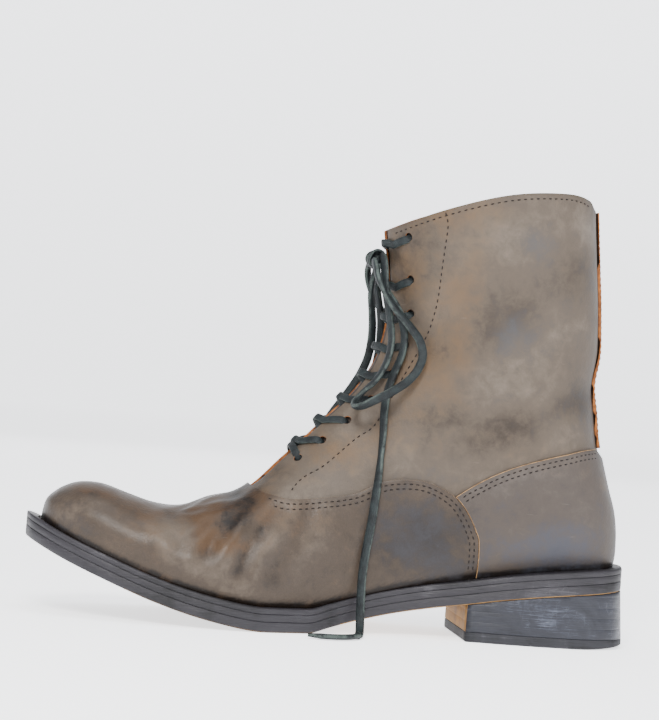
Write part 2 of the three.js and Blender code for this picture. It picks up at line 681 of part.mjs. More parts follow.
const END_LONG = route([
  [98.6, 3.8, 185.6], [98.5, 4.1, 183.3], [97.8, 6.1, 180], [96, 9.2, 176.8], [93.4, 12.8, 172.6],
  [90, 16.4, 167.6], [86.6, 19.2, 161.2], [84.2, 19.8, 152.4], [84.4, 18.9, 143],
  [87.4, 18.6, 133.5], [90.4, 19.6, 123.7], [91.7, 21.9, 113.5], [91.9, 25.3, 100.9],
  [92.8, 29.3, 85.8], [94.2, 33.4, 70.8], [95.9, 35.9, 54.8], [97.6, 37, 41.7], [98.4, 37.4, 31],
  [98.3, 37.4, 20], [98.1, 38.4, 11], [98.2, 41.6, 5], [98.8, 46.2, 2.3], [100, 51.4, 1.8],
  [102.7, 56.9, 1.8], [107.1, 61.4, 1.8], [113, 64, 1.8], [119.6, 64.4, 1.8], [126, 62.4, 1.8],
]);

function cord(points, step) {
  const path = new THREE.CatmullRomCurve3(points, false, 'centripetal');
  const shape = new THREE.Shape();
  for (let i = 0; i < CORD_SIDES; i += 1) {
    const turn = 2 * Math.PI * i / CORD_SIDES;
    const x = CORD_WIDTH / 2 * Math.cos(turn);
    const y = CORD_WIDTH / 2 * Math.sin(turn);
    if (i === 0) shape.moveTo(x, y);
    else shape.lineTo(x, y);
  }
  shape.closePath();
  const steps = Math.round(path.getLength() / step);
  return solid(new THREE.ExtrudeGeometry(shape, { steps, extrudePath: path, bevelEnabled: false }));
}

// The knot, an eight-sided block with narrowed ends, its middle and half height and depth by name
const KNOT = { x: 99.3, z: 190, half: 4, end: 0.95, shoulder: 0.7 };

function knotRing(y, share) {
  const ring = [];
  for (let i = 0; i < CORD_SIDES; i += 1) {
    const turn = 2 * Math.PI * (i + 0.5) / CORD_SIDES;
    const reach = share * KNOT.half / Math.cos(Math.PI / CORD_SIDES);
    ring.push(new THREE.Vector3(KNOT.x + reach * Math.cos(turn), y, KNOT.z + reach * Math.sin(turn)));
  }
  return ring;
}

const knot = solid(loft([
  knotRing(-KNOT_LENGTH / 2, KNOT.end),
  knotRing(-KNOT.shoulder * KNOT_LENGTH / 2, 1),
  knotRing(KNOT.shoulder * KNOT_LENGTH / 2, 1),
  knotRing(KNOT_LENGTH / 2, KNOT.end),
]));

const group = new THREE.Group();

function addPiece(name, body, color, roughness) {
  const material = new THREE.MeshStandardMaterial({ color, roughness, metalness: 0 });
  const mesh = new THREE.Mesh(geometryOf(body), material);
  mesh.name = name;
  group.add(mesh);
}

const LEATHER = 0x857768;
const SOLE_EDGE = 0x3c3c44;
const RUBBER = 0x2a2a30;
const LACE = 0x39423f;
const LINING = 0x5a4432;

addPiece('outsole', outsole, SOLE_EDGE, 0.6);
addPiece('midsole', midsole, SOLE_EDGE, 0.6);
addPiece('welt', welt, SOLE_EDGE, 0.7);
addPiece('heel_stack', heelStack, SOLE_EDGE, 0.5);
addPiece('heel_top_piece', topPiece, RUBBER, 0.8);
addPiece('insole', insole, LINING, 0.8);
addPiece('upper', upper, LEATHER, 0.6);
addPiece('vamp', vamp, LEATHER, 0.55);
addPiece('heel_counter', counter, LEATHER, 0.6);
addPiece('backstay', backstay, LEATHER, 0.6);
addPiece('tongue', tongue, LINING, 0.7);
crossings.forEach((body, i) => addPiece(`lace_crossing_${i + 1}`, body, LACE, 0.7));
addPiece('lace_knot', knot, LACE, 0.7);
addPiece('lace_loop_near', cord(LOOP_NEAR, BEND_STEP), LACE, 0.7);
addPiece('lace_loop_far', cord(LOOP_FAR, BEND_STEP), LACE, 0.7);
addPiece('lace_end_short', cord(END_SHORT, CORD_STEP), LACE, 0.7);
addPiece('lace_end_long', cord(END_LONG, BEND_STEP), LACE, 0.7);

export default group;
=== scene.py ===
import math

import bmesh
import bpy
import numpy as np
from mathutils import Matrix, Vector


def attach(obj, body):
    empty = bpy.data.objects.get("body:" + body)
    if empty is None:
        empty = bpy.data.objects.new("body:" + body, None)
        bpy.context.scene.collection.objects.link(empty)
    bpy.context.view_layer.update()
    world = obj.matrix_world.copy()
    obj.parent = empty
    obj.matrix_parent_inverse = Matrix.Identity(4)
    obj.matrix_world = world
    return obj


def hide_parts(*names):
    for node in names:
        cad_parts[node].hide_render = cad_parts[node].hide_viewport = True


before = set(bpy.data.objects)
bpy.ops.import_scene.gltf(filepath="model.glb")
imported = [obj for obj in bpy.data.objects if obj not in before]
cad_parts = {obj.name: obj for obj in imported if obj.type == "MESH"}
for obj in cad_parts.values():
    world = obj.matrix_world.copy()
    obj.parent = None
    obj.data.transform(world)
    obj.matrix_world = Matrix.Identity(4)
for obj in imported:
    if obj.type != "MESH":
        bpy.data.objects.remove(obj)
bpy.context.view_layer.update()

# The camera looks level at the inner side of the boot, as the photograph does, and is rolled so that the
# boot can stand flat on its heel and forefoot.
AIM = Vector((0.1191, 0, 0.1365))
DISTANCE = 1.3
AZIMUTH = math.radians(173.5)
ROLL = math.radians(4.5)
FOCAL_LENGTH = 126.6
back = Vector((math.sin(AZIMUTH), -math.cos(AZIMUTH), 0))
across = Vector((math.cos(AZIMUTH), math.sin(AZIMUTH), 0))
up = Vector((0, 0, 1))
camera_data = bpy.data.cameras.new("camera")
camera_data.lens = FOCAL_LENGTH
camera_data.sensor_width = 36
camera_data.clip_start = 0.05
camera_data.clip_end = 30
camera = bpy.data.objects.new("camera", camera_data)
bpy.context.scene.collection.objects.link(camera)
right = across * math.cos(ROLL) + up * math.sin(ROLL)
top = up * math.cos(ROLL) - across * math.sin(ROLL)
facing = Matrix((right, top, back)).transposed().to_4x4()
camera.matrix_world = Matrix.Translation(AIM + back * DISTANCE) @ facing
bpy.context.scene.camera = camera


# A plain pale floor that sweeps up into a far wall on every side, and soft studio lights.
def plain_material(name, colour, roughness, glow):
    material = bpy.data.materials.new(name)
    material.use_nodes = True
    shader = material.node_tree.nodes["Principled BSDF"]
    shader.inputs["Base Color"].default_value = (*colour, 1)
    shader.inputs["Roughness"].default_value = roughness
    shader.inputs["Emission Color"].default_value = (*colour, 1)
    shader.inputs["Emission Strength"].default_value = glow
    return material


FLOOR_RADIUS = 4.0
SWEEP = 1.2
SWEEP_STEPS = 8
floor_mesh = bmesh.new()
bmesh.ops.create_circle(floor_mesh, segments=96, radius=FLOOR_RADIUS, cap_ends=True)
rim = floor_mesh.edges[:]
for i in range(1, SWEEP_STEPS + 1):
    turn = math.pi / 2 * i / SWEEP_STEPS
    made = bmesh.ops.extrude_edge_only(floor_mesh, edges=rim)["geom"]
    ring = [v for v in made if isinstance(v, bmesh.types.BMVert)]
    rim = [e for e in made if isinstance(e, bmesh.types.BMEdge)]
    reach = FLOOR_RADIUS + SWEEP * math.sin(turn)
    for v in ring:
        v.co = Vector((v.co.x, v.co.y, 0)).normalized() * reach
        v.co.z = SWEEP * (1 - math.cos(turn))
for face in floor_mesh.faces:
    face.smooth = True
bmesh.ops.recalc_face_normals(floor_mesh, faces=floor_mesh.faces)
floor_data = bpy.data.meshes.new("floor")
floor_mesh.to_mesh(floor_data)
floor = bpy.data.objects.new("floor", floor_data)
bpy.context.scene.collection.objects.link(floor)
floor_data.materials.append(plain_material("floor", (0.93, 0.935, 0.95), 0.9, 1.7))

world = bpy.data.worlds.new("world")
bpy.context.scene.world = world
world.use_nodes = True
sky = world.node_tree.nodes["Background"]
sky.inputs["Color"].default_value = (0.93, 0.95, 1.0, 1)
sky.inputs["Strength"].default_value = 0.8
BOOT_MIDDLE = (0.1, 0, 0.1)


def soft_light(name, place, size, power, colour):
    data = bpy.data.lights.new(name, "AREA")
    data.shape = "RECTANGLE"
    data.size = size
    data.size_y = size
    data.energy = power
    data.color = colour
    lamp = bpy.data.objects.new(name, data)
    lamp.location = place
    lamp.rotation_euler = (Vector(place) - Vector(BOOT_MIDDLE)).to_track_quat("Z", "Y").to_euler()
    bpy.context.scene.collection.objects.link(lamp)


soft_light("key", (0.45, 1.5, 1.25), 0.55, 46, (1, 0.99, 0.97))
soft_light("fill", (-1.1, 1.3, 0.7), 0.9, 14, (0.93, 0.96, 1))
soft_light("top", (0.1, 0.3, 2.0), 1.0, 16, (0.97, 0.98, 1))
soft_light("rear", (0.2, -1.8, 1.0), 1.6, 8, (1, 1, 1))

# The form that the boot is lasted on, in millimetres. Each row of the tables is a station, and each column
# a size, with shares of the sole's length, the ball's width and the shaft's height as in the solids.
SOLE_LENGTH = 308
BALL_WIDTH = 103
SHAFT_HEIGHT = 192
HEEL_LIFT = 30
TOE_SPRING = 37.5
HEEL_BACK = -41
OUTSOLE_THICK = 5
MIDSOLE_THICK = 3.5
WELT_THICK = 3
FIT_GAP = 0.3  # left between the solids of the sole's layers
SEAT_DROP = 4
SEAT_DATUM = HEEL_LIFT + OUTSOLE_THICK + MIDSOLE_THICK
# x, half width, swing
SOLE_OUTLINE = np.array([
    (0.0003, 0.03, 0), (0.008, 0.146, 0), (0.029, 0.238, 0), (0.071, 0.306, -0.002), (0.13, 0.33, -0.004),
    (0.2, 0.334, -0.008), (0.27, 0.32, -0.018), (0.335, 0.314, -0.03), (0.4, 0.328, -0.042),
    (0.47, 0.372, -0.048), (0.535, 0.44, -0.034), (0.595, 0.484, -0.01), (0.645, 0.5, 0.006),
    (0.69, 0.496, 0.02), (0.742, 0.472, 0.033), (0.794, 0.438, 0.047), (0.846, 0.394, 0.06),
    (0.89, 0.35, 0.072), (0.93, 0.296, 0.082), (0.96, 0.234, 0.09), (0.98, 0.172, 0.094),
    (0.9925, 0.108, 0.097), (0.9993, 0.034, 0.098),
])
# x, share of the heel's lift, share of the toe's spring
SOLE_PROFILE = np.array([
    (-0.01, 1.01, 0), (0.036, 0.957, 0), (0.136, 0.85, 0), (0.211, 0.74, 0), (0.272, 0.623, 0),
    (0.336, 0.508, 0), (0.395, 0.385, 0), (0.453, 0.235, 0), (0.5, 0.1, 0), (0.535, -0.004, 0),
    (0.575, -0.012, 0), (0.62, 0, 0.004), (0.662, 0, 0.052), (0.73, 0, 0.168), (0.799, 0, 0.332),
    (0.867, 0, 0.535), (0.935, 0, 0.755), (1, 0, 1),
])
# bx, bz, tx, tz, half, swing, ridge, widest, lower, upper
UPPER_SECTIONS = np.array([
    (0.9682, 0, 0.9685, 0.0625, 0.045, 0.094, 0.094, 0.5, 3, 2.4),
    (0.9636, 0, 0.9643, 0.0859, 0.108, 0.093, 0.092, 0.48, 3.4, 2.4),
    (0.9539, 0, 0.9545, 0.1026, 0.165, 0.09, 0.09, 0.46, 3.8, 2.4),
    (0.937, 0, 0.9383, 0.1198, 0.221, 0.086, 0.086, 0.44, 4.2, 2.4),
    (0.9123, 0, 0.914, 0.1323, 0.274, 0.08, 0.08, 0.42, 4.6, 2.4),
    (0.8786, 0, 0.8799, 0.1307, 0.32, 0.07, 0.074, 0.4, 5, 2.3),
    (0.8377, 0, 0.8377, 0.1099, 0.362, 0.058, 0.066, 0.4, 5, 2.2),
    (0.7922, 0, 0.7938, 0.0906, 0.4, 0.045, 0.056, 0.4, 5, 2.15),
    (0.7468, 0, 0.75, 0.088, 0.426, 0.034, 0.048, 0.38, 5, 2.1),
    (0.6981, 0, 0.7045, 0.112, 0.442, 0.02, 0.042, 0.36, 5, 2),
    (0.6477, 0, 0.664, 0.1318, 0.444, 0.002, 0.036, 0.34, 5, 1.9),
    (0.5909, 0, 0.6282, 0.1745, 0.427, -0.015, 0.03, 0.33, 4.8, 1.8),
    (0.526, 0, 0.5958, 0.2349, 0.391, -0.034, 0.024, 0.32, 4.6, 1.74),
    (0.4513, 0, 0.561, 0.2964, 0.35, -0.042, 0.018, 0.33, 4.2, 1.7),
    (0.3766, 0, 0.5227, 0.3672, 0.322, -0.034, 0.013, 0.35, 3.8, 1.68),
    (0.3052, 0, 0.4857, 0.4323, 0.308, -0.024, 0.008, 0.37, 3.5, 1.68),
    (0.2338, 0, 0.4617, 0.4911, 0.304, -0.014, 0.004, 0.39, 3.2, 1.7),
    (0.1656, 0, 0.4474, 0.5417, 0.305, -0.008, 0.002, 0.41, 2.9, 1.72),
    (0.099, 0, 0.439, 0.5911, 0.308, -0.004, 0, 0.43, 2.6, 1.74),
    (0.0487, 0, 0.4354, 0.638, 0.312, -0.002, 0, 0.45, 2.4, 1.76),
    (0.0221, 0.036, 0.4347, 0.6823, 0.317, 0, 0, 0.46, 2.2, 1.78),
    (0.0182, 0.098, 0.4354, 0.7266, 0.322, 0, 0, 0.47, 2.12, 1.8),
    (0.0234, 0.171, 0.4383, 0.7682, 0.327, 0, 0, 0.48, 2.08, 1.82),
    (0.0373, 0.244, 0.4409, 0.8073, 0.333, 0, 0, 0.485, 2.05, 1.84),
    (0.0513, 0.322, 0.4442, 0.8438, 0.339, 0, 0, 0.49, 2, 1.86),
    (0.064, 0.401, 0.4474, 0.8802, 0.345, 0, 0, 0.49, 2, 1.88),
    (0.0718, 0.479, 0.4506, 0.9167, 0.351, 0, 0, 0.49, 2, 1.9),
    (0.0734, 0.557, 0.4532, 0.9531, 0.356, 0, 0, 0.49, 2, 1.92),
    (0.0708, 0.645, 0.4562, 0.9922, 0.361, 0, 0, 0.49, 2, 1.94),
    (0.0747, 0.739, 0.4588, 1.0339, 0.366, 0, 0, 0.49, 2, 1.95),
    (0.0818, 0.843, 0.4617, 1.0755, 0.37, 0, 0, 0.49, 2, 1.96),
    (0.0883, 0.947, 0.4643, 1.1172, 0.374, 0, 0, 0.49, 2, 1.98),
    (0.0942, 1.062, 0.4675, 1.1589, 0.376, 0, 0, 0.49, 2, 2),
    (0.1006, 1.166, 0.4708, 1.2057, 0.377, 0, 0, 0.49, 2, 2),
])
LAST_ROW = len(UPPER_SECTIONS) - 1
TOE_ROUND = 0.6


def rows_at(rows, places):
    places = np.clip(np.asarray(places, float), 0, len(rows) - 1)
    i = np.minimum(places.astype(int), len(rows) - 2)
    t = (places - i)[..., None]
    a, b, c, d = rows[np.maximum(i - 1, 0)], rows[i], rows[i + 1], rows[np.minimum(i + 2, len(rows) - 1)]
    start = b * (2 * t**3 - 3 * t**2 + 1) + c * (3 * t**2 - 2 * t**3)
    return start + (c - a) / 2 * (t**3 - 2 * t**2 + t) + (d - b) / 2 * (t**3 - t**2)


profile = rows_at(SOLE_PROFILE, np.linspace(0, len(SOLE_PROFILE) - 1, 3000))
profile_x = HEEL_BACK + profile[:, 0] * SOLE_LENGTH
profile_z = np.maximum(0, profile[:, 1] * HEEL_LIFT + profile[:, 2] * TOE_SPRING)


def underside(x):
    return np.interp(x, profile_x, profile_z)


def seat(x):
    return underside(x) + OUTSOLE_THICK + MIDSOLE_THICK + 2 * FIT_GAP


def up_shaft(share):
    return SEAT_DATUM + share * SHAFT_HEIGHT


def form(places, angles):
    """Points of the last at places in the table of sections and angles round the section."""
    places, angles = np.broadcast_arrays(np.asarray(places, float), np.asarray(angles, float))
    sections = np.moveaxis(rows_at(UPPER_SECTIONS, places), -1, 0)
    bx, bz, tx, tz, half, swing, ridge, widest, lower, upper = sections
    bx = HEEL_BACK + bx * SOLE_LENGTH
    bz = seat(bx) - SEAT_DROP + bz * SHAFT_HEIGHT
    tx = HEEL_BACK + tx * SOLE_LENGTH
    tz = up_shaft(tz)
    rise, side = np.sin(angles), np.cos(angles)
    power = 2 / np.where(rise < 0, lower, upper)
    reach = np.abs(rise) ** power
    along = np.where(rise < 0, widest * (1 - reach), widest + (1 - widest) * reach)
    sideways = np.sign(side) * np.abs(side) ** power * half
    centre = swing + (ridge - swing) * along
    return np.stack([bx + (tx - bx) * along, BALL_WIDTH * (centre + sideways), bz + (tz - bz) * along], -1)


# Angles that share each section's length out evenly, so that meshes over the last are even too.
ARC_STEPS = 8
warp = np.linspace(-1, 1, 401)
arc_angles = np.sign(warp) * np.abs(warp) ** 2.6 * math.pi / 2
arc_places = np.linspace(0, LAST_ROW, ARC_STEPS * LAST_ROW + 1)
arc_points = form(arc_places[:, None], arc_angles[None, :])
arc_table = []
for ring in arc_points:
    walked = np.concatenate([[0], np.cumsum(np.linalg.norm(np.diff(ring, axis=0), axis=1))])
    arc_table.append(np.interp(np.linspace(0, 1, 201), walked / walked[-1], arc_angles))
arc_table = np.array(arc_table)


def last(places, rounds):
    """Points of the last at places in the table, and at rounds that go from 0 under the foot or at the back
    seam, up the inner side to 1 on the ridge, and down the outer side to 2. Places under 0 close the toe."""
    places, rounds = np.broadcast_arrays(np.asarray(places, float), np.mod(rounds, 2))
    half = np.where(rounds > 1, 2 - rounds, rounds) * (arc_table.shape[1] - 1)
    inside = np.clip(places, 0, LAST_ROW)
    row = np.minimum((inside * ARC_STEPS).astype(int), len(arc_table) - 2)
    column = np.minimum(half.astype(int), arc_table.shape[1] - 2)
    a, b = inside * ARC_STEPS - row, half - column
    angles = ((1 - a) * ((1 - b) * arc_table[row, column] + b * arc_table[row, column + 1])
              + a * ((1 - b) * arc_table[row + 1, column] + b * arc_table[row + 1, column + 1]))
    angles = np.where(rounds > 1, math.pi - angles, angles)
    points = form(inside, angles)
    tip = form(0, np.array([-math.pi / 2, math.pi / 2])).mean(axis=0)
    size = np.clip(1 + places, 0, 1)[..., None]
    closed = tip + (points - tip) * size + np.array([TOE_ROUND, 0, 0]) * (1 - size**2)
    return np.where((places < 0)[..., None], closed, points)


def last_normal(places, rounds):
    step, turn_step = 0.03, 0.012
    run = last(np.minimum(places + step, LAST_ROW), rounds) - last(np.maximum(places - step, -1), rounds)
    turn = last(places, rounds + turn_step) - last(places, rounds - turn_step)
    normal = np.cross(run, turn)
    size = np.linalg.norm(normal, axis=-1, keepdims=True)
    return np.where(size > 1e-6, normal / np.maximum(size, 1e-9), np.array([1.0, 0, 0]))


# Creases and hollows of the worn leather: points along each one, its half width and its depth, in
# millimetres, with a ridge of half the depth beside it. They are placed on the side that shows most wear
# and, a little changed, on the other side.
CREASES = [
    ([(150, 30, 72), (163, 36, 60), (172, 42, 48), (178, 45, 38)], 5.0, 1.9),
    ([(154, 24, 75), (160, 33, 64), (164, 40, 54), (168, 44, 45)], 2.4, 0.9),
    ([(157, 20, 76), (168, 31, 65), (176, 38, 55), (184, 44, 45)], 2.4, 0.8),
    ([(146, 34, 66), (149, 40, 56), (151, 43, 47)], 2.6, 0.8),
    ([(154, 39, 60), (166, 41, 54), (180, 40, 52)], 2.2, 0.6),
    ([(158, 34, 66), (172, 34, 61), (186, 33, 57)], 2.4, 0.6),
    ([(158, 22, 76), (170, 30, 64), (181, 38, 50), (190, 43, 38)], 4.2, 1.6),
    ([(168, 10, 70), (178, 22, 63), (187, 32, 53), (196, 40, 42)], 3.6, 1.4),
    ([(176, 4, 66), (185, 16, 61), (193, 27, 54), (201, 36, 44)], 3.6, 1.1),
    ([(143, 36, 62), (152, 42, 50), (158, 45, 40), (162, 46, 30)], 5.0, 1.4),
    ([(130, 36, 60), (138, 42, 48), (143, 44, 38), (146, 44, 28)], 6.5, 0.8),
    ([(166, 28, 62), (176, 30, 58), (188, 28, 56)], 3.0, 0.8),
    ([(152, -24, 72), (164, -34, 60), (174, -42, 46), (181, -45, 36)], 5.5, 1.4),
    ([(160, -14, 76), (172, -26, 63), (184, -37, 48), (192, -40, 38)], 4.5, 1.2),
    ([(170, -4, 69), (181, -18, 61), (190, -30, 51), (198, -35, 42)], 4.0, 1.0),
    ([(142, -34, 62), (150, -42, 50), (156, -46, 40), (160, -47, 30)], 6.0, 1.0),
    ([(60, 34, 118), (78, 30, 112), (96, 24, 108)], 9.0, 0.9),
    ([(20, 34, 112), (42, 34, 104), (66, 33, 100)], 11.0, 0.9),
    ([(58, -34, 120), (78, -30, 112), (97, -24, 107)], 9.0, 1.0),
    ([(18, -34, 110), (42, -34, 103), (66, -33, 100)], 11.0, 0.9),
    ([(-20, 6, 134), (-12, 20, 126), (4, 28, 122)], 8.0, 0.8),
    ([(-20, -6, 134), (-12, -20, 128), (4, -28, 124)], 8.0, 0.8),
    ([(30, 36, 160), (50, 35, 150), (70, 30, 146)], 12.0, 0.7),
    ([(0, 34, 190), (20, 37, 178), (44, 37, 172)], 14.0, 0.6),
    ([(28, -36, 165), (50, -35, 154), (70, -30, 150)], 12.0, 0.7),
]


def crease_height(points):
    """How far the worn surface stands off the last at each point, down in the creases and up beside them."""
    total = np.zeros(points.shape[:-1])
    for line, width, depth in CREASES:
        line = np.array(line, float)
        nearest = np.full(points.shape[:-1], 1e9)
        for a, b in zip(line[:-1], line[1:]):
            run = b - a
            share = np.clip(((points - a) @ run) / (run @ run), 0, 1)
            gone = np.linalg.norm(points - (a + share[..., None] * run), axis=-1)
            nearest = np.minimum(nearest, gone)
        near = nearest / width
        total += -depth * np.exp(-(near**2)) + 0.5 * depth * np.exp(-((near - 1.9) ** 2))
    return total


def skin(places, rounds, offset):
    """Points of the worn surface at an offset from the last."""
    points = last(places, rounds)
    lift = offset + crease_height(points)
    return points + last_normal(places, rounds) * np.asarray(lift)[..., None]


def add_piece(name, bm, materials, replaces=()):
    """Turn a mesh in millimetres into a finished piece that rides on the boot."""
    for v in bm.verts:
        v.co *= 0.001
    for face in bm.faces:
        face.smooth = True
    data = bpy.data.meshes.new(name)
    bm.to_mesh(data)
    bm.free()
    piece = bpy.data.objects.new(name, data)
    bpy.context.scene.collection.objects.link(piece)
    for material in materials:
        data.materials.append(material)
    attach(piece, "root")
    if replaces:
        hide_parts(*replaces)
    return piece


# Colours are read off as screen values. The leather pieces share one node group that makes mottling,
# grain and wear, and leather, lace and rubber share a few helpers that build their nodes.
def tint(red, green, blue):
    screen = [value / 255 for value in (red, green, blue)]
    return tuple(((c + 0.055) / 1.055) ** 2.4 if c > 10 / 255 else c / 12.92 for c in screen) + (1,)


def new_group(name, inputs, outputs):
    group = bpy.data.node_groups.new(name, "ShaderNodeTree")
    for label, kind, value in inputs:
        socket = group.interface.new_socket(label, in_out="INPUT", socket_type=kind)
        if value is not None:
            socket.default_value = value
    for label, kind in outputs:
        group.interface.new_socket(label, in_out="OUTPUT", socket_type=kind)
    return group, group.nodes.new("NodeGroupInput"), group.nodes.new("NodeGroupOutput")


def feed(tree, value, socket):
    """Join an output to a socket, or set the socket's value."""
    if isinstance(value, bpy.types.NodeSocket):
        tree.links.new(value, socket)
    else:
        socket.default_value = value


def node(tree, kind, **settings):
    """A new node. Settings name its sockets, with _ for a space, or its own properties."""
    made = tree.nodes.new(kind)
    for key, value in settings.items():
        label = key.replace("_", " ")
        if label in made.inputs:
            feed(tree, value, made.inputs[label])
        else:
            setattr(made, key, value)
    return made


def noise(tree, vector, scale, detail=3.0, roughness=0.55, distortion=0.0):
    return node(tree, "ShaderNodeTexNoise", Vector=vector, Scale=scale, Detail=detail, Roughness=roughness,
                Distortion=distortion).outputs["Fac"]


def ramp(tree, value, low, high, to_low=0.0, to_high=1.0):
    return node(tree, "ShaderNodeMapRange", clamp=True, interpolation_type="SMOOTHSTEP", Value=value,
                From_Min=low, From_Max=high, To_Min=to_low, To_Max=to_high).outputs["Result"]


def combine(tree, operation, first, second):
    made = node(tree, "ShaderNodeMath", operation=operation)
    feed(tree, first, made.inputs[0])
    feed(tree, second, made.inputs[1])
    return made.outputs[0]


def times(tree, first, second):
    return combine(tree, "MULTIPLY", first, second)


def plus(tree, first, second):
    return combine(tree, "ADD", first, second)


def mix_colour(tree, share, first, second):
    made = node(tree, "ShaderNodeMix", data_type="RGBA")
    for value, socket in ((share, made.inputs[0]), (first, made.inputs[6]), (second, made.inputs[7])):
        feed(tree, value, socket)
    return made.outputs[2]


def new_material(name, specular):
    """A material, its tree and its shader, and the piece's own coordinates."""
    material = bpy.data.materials.new(name)
    material.use_nodes = True
    tree = material.node_tree
    shader = tree.nodes["Principled BSDF"]
    shader.inputs["Specular IOR Level"].default_value = specular
    return material, tree, shader, node(tree, "ShaderNodeTexCoord").outputs["Object"]


def surface(tree, shader, colour, roughness, height, strength, depth):
    """Give the shader its colour, its roughness and a bumpy surface."""
    bumps = node(tree, "ShaderNodeBump", Strength=strength, Distance=depth, Height=height)
    feed(tree, colour, shader.inputs["Base Color"])
    feed(tree, roughness, shader.inputs["Roughness"])
    feed(tree, bumps.outputs["Normal"], shader.inputs["Normal"])


# Leather's surface: soft cloudy mottling, fine pebbled grain, small pores, and short scratches that all
# run about level. One group gives the masks and the height for every leather piece.
leather_wear, wear_in, wear_out = new_group(
    "worn grain",
    [("Vector", "NodeSocketVector", None)],
    [("Cloud", "NodeSocketFloat"), ("Patch", "NodeSocketFloat"), ("Fleck", "NodeSocketFloat"),
     ("Scratch", "NodeSocketFloat"), ("Height", "NodeSocketFloat")],
)
place_in = wear_in.outputs["Vector"]
for label, scale, detail, roughness, distortion in (("Cloud", 34, 5, 0.6, 0.6), ("Patch", 16, 4, 0.6, 0.9),
                                                    ("Fleck", 150, 6, 0.68, 0.3)):
    mottling = noise(leather_wear, place_in, scale, detail, roughness, distortion)
    feed(leather_wear, mottling, wear_out.inputs[label])
stretched = node(leather_wear, "ShaderNodeMapping", Vector=place_in, Rotation=(0.2, 0.35, 0.1),
                 Scale=(60, 60, 420))
scratches = noise(leather_wear, stretched.outputs["Vector"], 1.0, 4, 0.7)
feed(leather_wear, ramp(leather_wear, scratches, 0.66, 0.78), wear_out.inputs["Scratch"])
pebble = node(leather_wear, "ShaderNodeTexVoronoi", feature="SMOOTH_F1", Vector=place_in, Scale=900,
              Smoothness=0.7)
rough_height = times(leather_wear, pebble.outputs["Distance"], 0.5)
for scale, detail, share in ((1900, 2, 0.3), (150, 4, 1.3)):
    bumps = times(leather_wear, noise(leather_wear, place_in, scale, detail, 0.6), share)
    rough_height = plus(leather_wear, rough_height, bumps)
feed(leather_wear, rough_height, wear_out.inputs["Height"])


def leather(name, dark, base, light, cool, warm, roughness):
    """Waxed leather between a dark, a base and a light colour. Attributes painted on the mesh shift it:
    tone to dark or light, painted shade included, warmth to the cool or warm colour, and scuff to bare tan
    leather. The colour also darkens towards the silhouette as painted shade."""
    material, tree, shader, place = new_material(name, 0.2)
    wear = node(tree, "ShaderNodeGroup", node_tree=leather_wear)
    feed(tree, place, wear.inputs["Vector"])
    tone, warmth, scuff = (node(tree, "ShaderNodeAttribute", attribute_name=label).outputs["Fac"]
                           for label in ("tone", "warmth", "scuff"))
    cloud, patch, fleck = (combine(tree, "SUBTRACT", wear.outputs[label], 0.5)
                           for label in ("Cloud", "Patch", "Fleck"))
    lightness, temperature = tone, warmth
    for mask, strength in ((cloud, 0.75), (patch, 0.6), (fleck, 1.2)):
        lightness = plus(tree, lightness, times(tree, mask, strength))
    for mask in (patch, fleck):
        temperature = plus(tree, temperature, times(tree, mask, 1.5))
    colour = mix_colour(tree, ramp(tree, lightness, 0.0, 0.9), base, light)
    colour = mix_colour(tree, ramp(tree, lightness, 0.05, -0.9), colour, dark)
    colour = mix_colour(tree, ramp(tree, temperature, 0.05, 0.9, 0, 0.75), colour, warm)
    colour = mix_colour(tree, ramp(tree, temperature, -0.05, -0.9, 0, 0.75), colour, cool)
    colour = mix_colour(tree, times(tree, wear.outputs["Scratch"], 0.5), colour, light)
    broken = ramp(tree, plus(tree, scuff, times(tree, cloud, 1.4)), 0.35, 0.8)
    colour = mix_colour(tree, broken, colour, tint(150, 112, 72))
    # Painted shade: the colour darkens towards the silhouette, where the surface turns edge-on to the view.
    rim = node(tree, "ShaderNodeLayerWeight", Blend=0.35)
    painted_rim_shade = ramp(tree, rim.outputs["Facing"], 0.25, 1, 0, 0.65)
    colour = mix_colour(tree, painted_rim_shade, colour, tuple(0.6 * c for c in dark[:3]) + (1,))
    gloss = plus(tree, plus(tree, times(tree, cloud, 0.35), roughness), times(tree, broken, 0.2))
    surface(tree, shader, colour, gloss, wear.outputs["Height"], 0.55, 0.00022)
    return material


def simple_leather(name, dark, light, roughness, scale, bump):
    """Raw edges, linings and other plain stuff: two colours mixed by noise, with a rough surface."""
    material, tree, shader, place = new_material(name, 0.25)
    clouds = noise(tree, place, scale, 5, 0.62, 0.3)
    colour = mix_colour(tree, ramp(tree, clouds, 0.3, 0.72), dark, light)
    gloss = ramp(tree, clouds, 0.3, 0.75, roughness, roughness + 0.2)
    surface(tree, shader, colour, gloss, noise(tree, place, scale * 4, 4, 0.65), 0.6, bump)
    return material


shaft_leather = leather("shaft leather", tint(40, 33, 27), tint(73, 64, 55), tint(100, 91, 81),
                        tint(65, 65, 67), tint(84, 65, 45), 0.5)
vamp_leather = leather("vamp leather", tint(18, 12, 8), tint(57, 48, 40), tint(86, 76, 66),
                       tint(48, 47, 50), tint(68, 48, 29), 0.42)
counter_leather = leather("counter leather", tint(26, 22, 20), tint(63, 56, 51), tint(90, 84, 79),
                          tint(58, 60, 68), tint(76, 58, 40), 0.45)
raw_edge = simple_leather("raw cut edge", tint(112, 82, 50), tint(168, 134, 94), 0.7, 260, 0.0002)
brown_edge = simple_leather("brown cut edge", tint(92, 50, 22), tint(150, 92, 46), 0.7, 260, 0.0002)
lining = simple_leather("lining", tint(38, 24, 17), tint(70, 47, 32), 0.65, 120, 0.0001)
tongue_leather = leather("tongue leather", tint(18, 14, 12), tint(48, 39, 33), tint(78, 67, 58),
                         tint(44, 44, 50), tint(58, 40, 28), 0.55)
thread = simple_leather("thread", tint(12, 9, 8), tint(34, 27, 23), 0.7, 900, 0.00005)


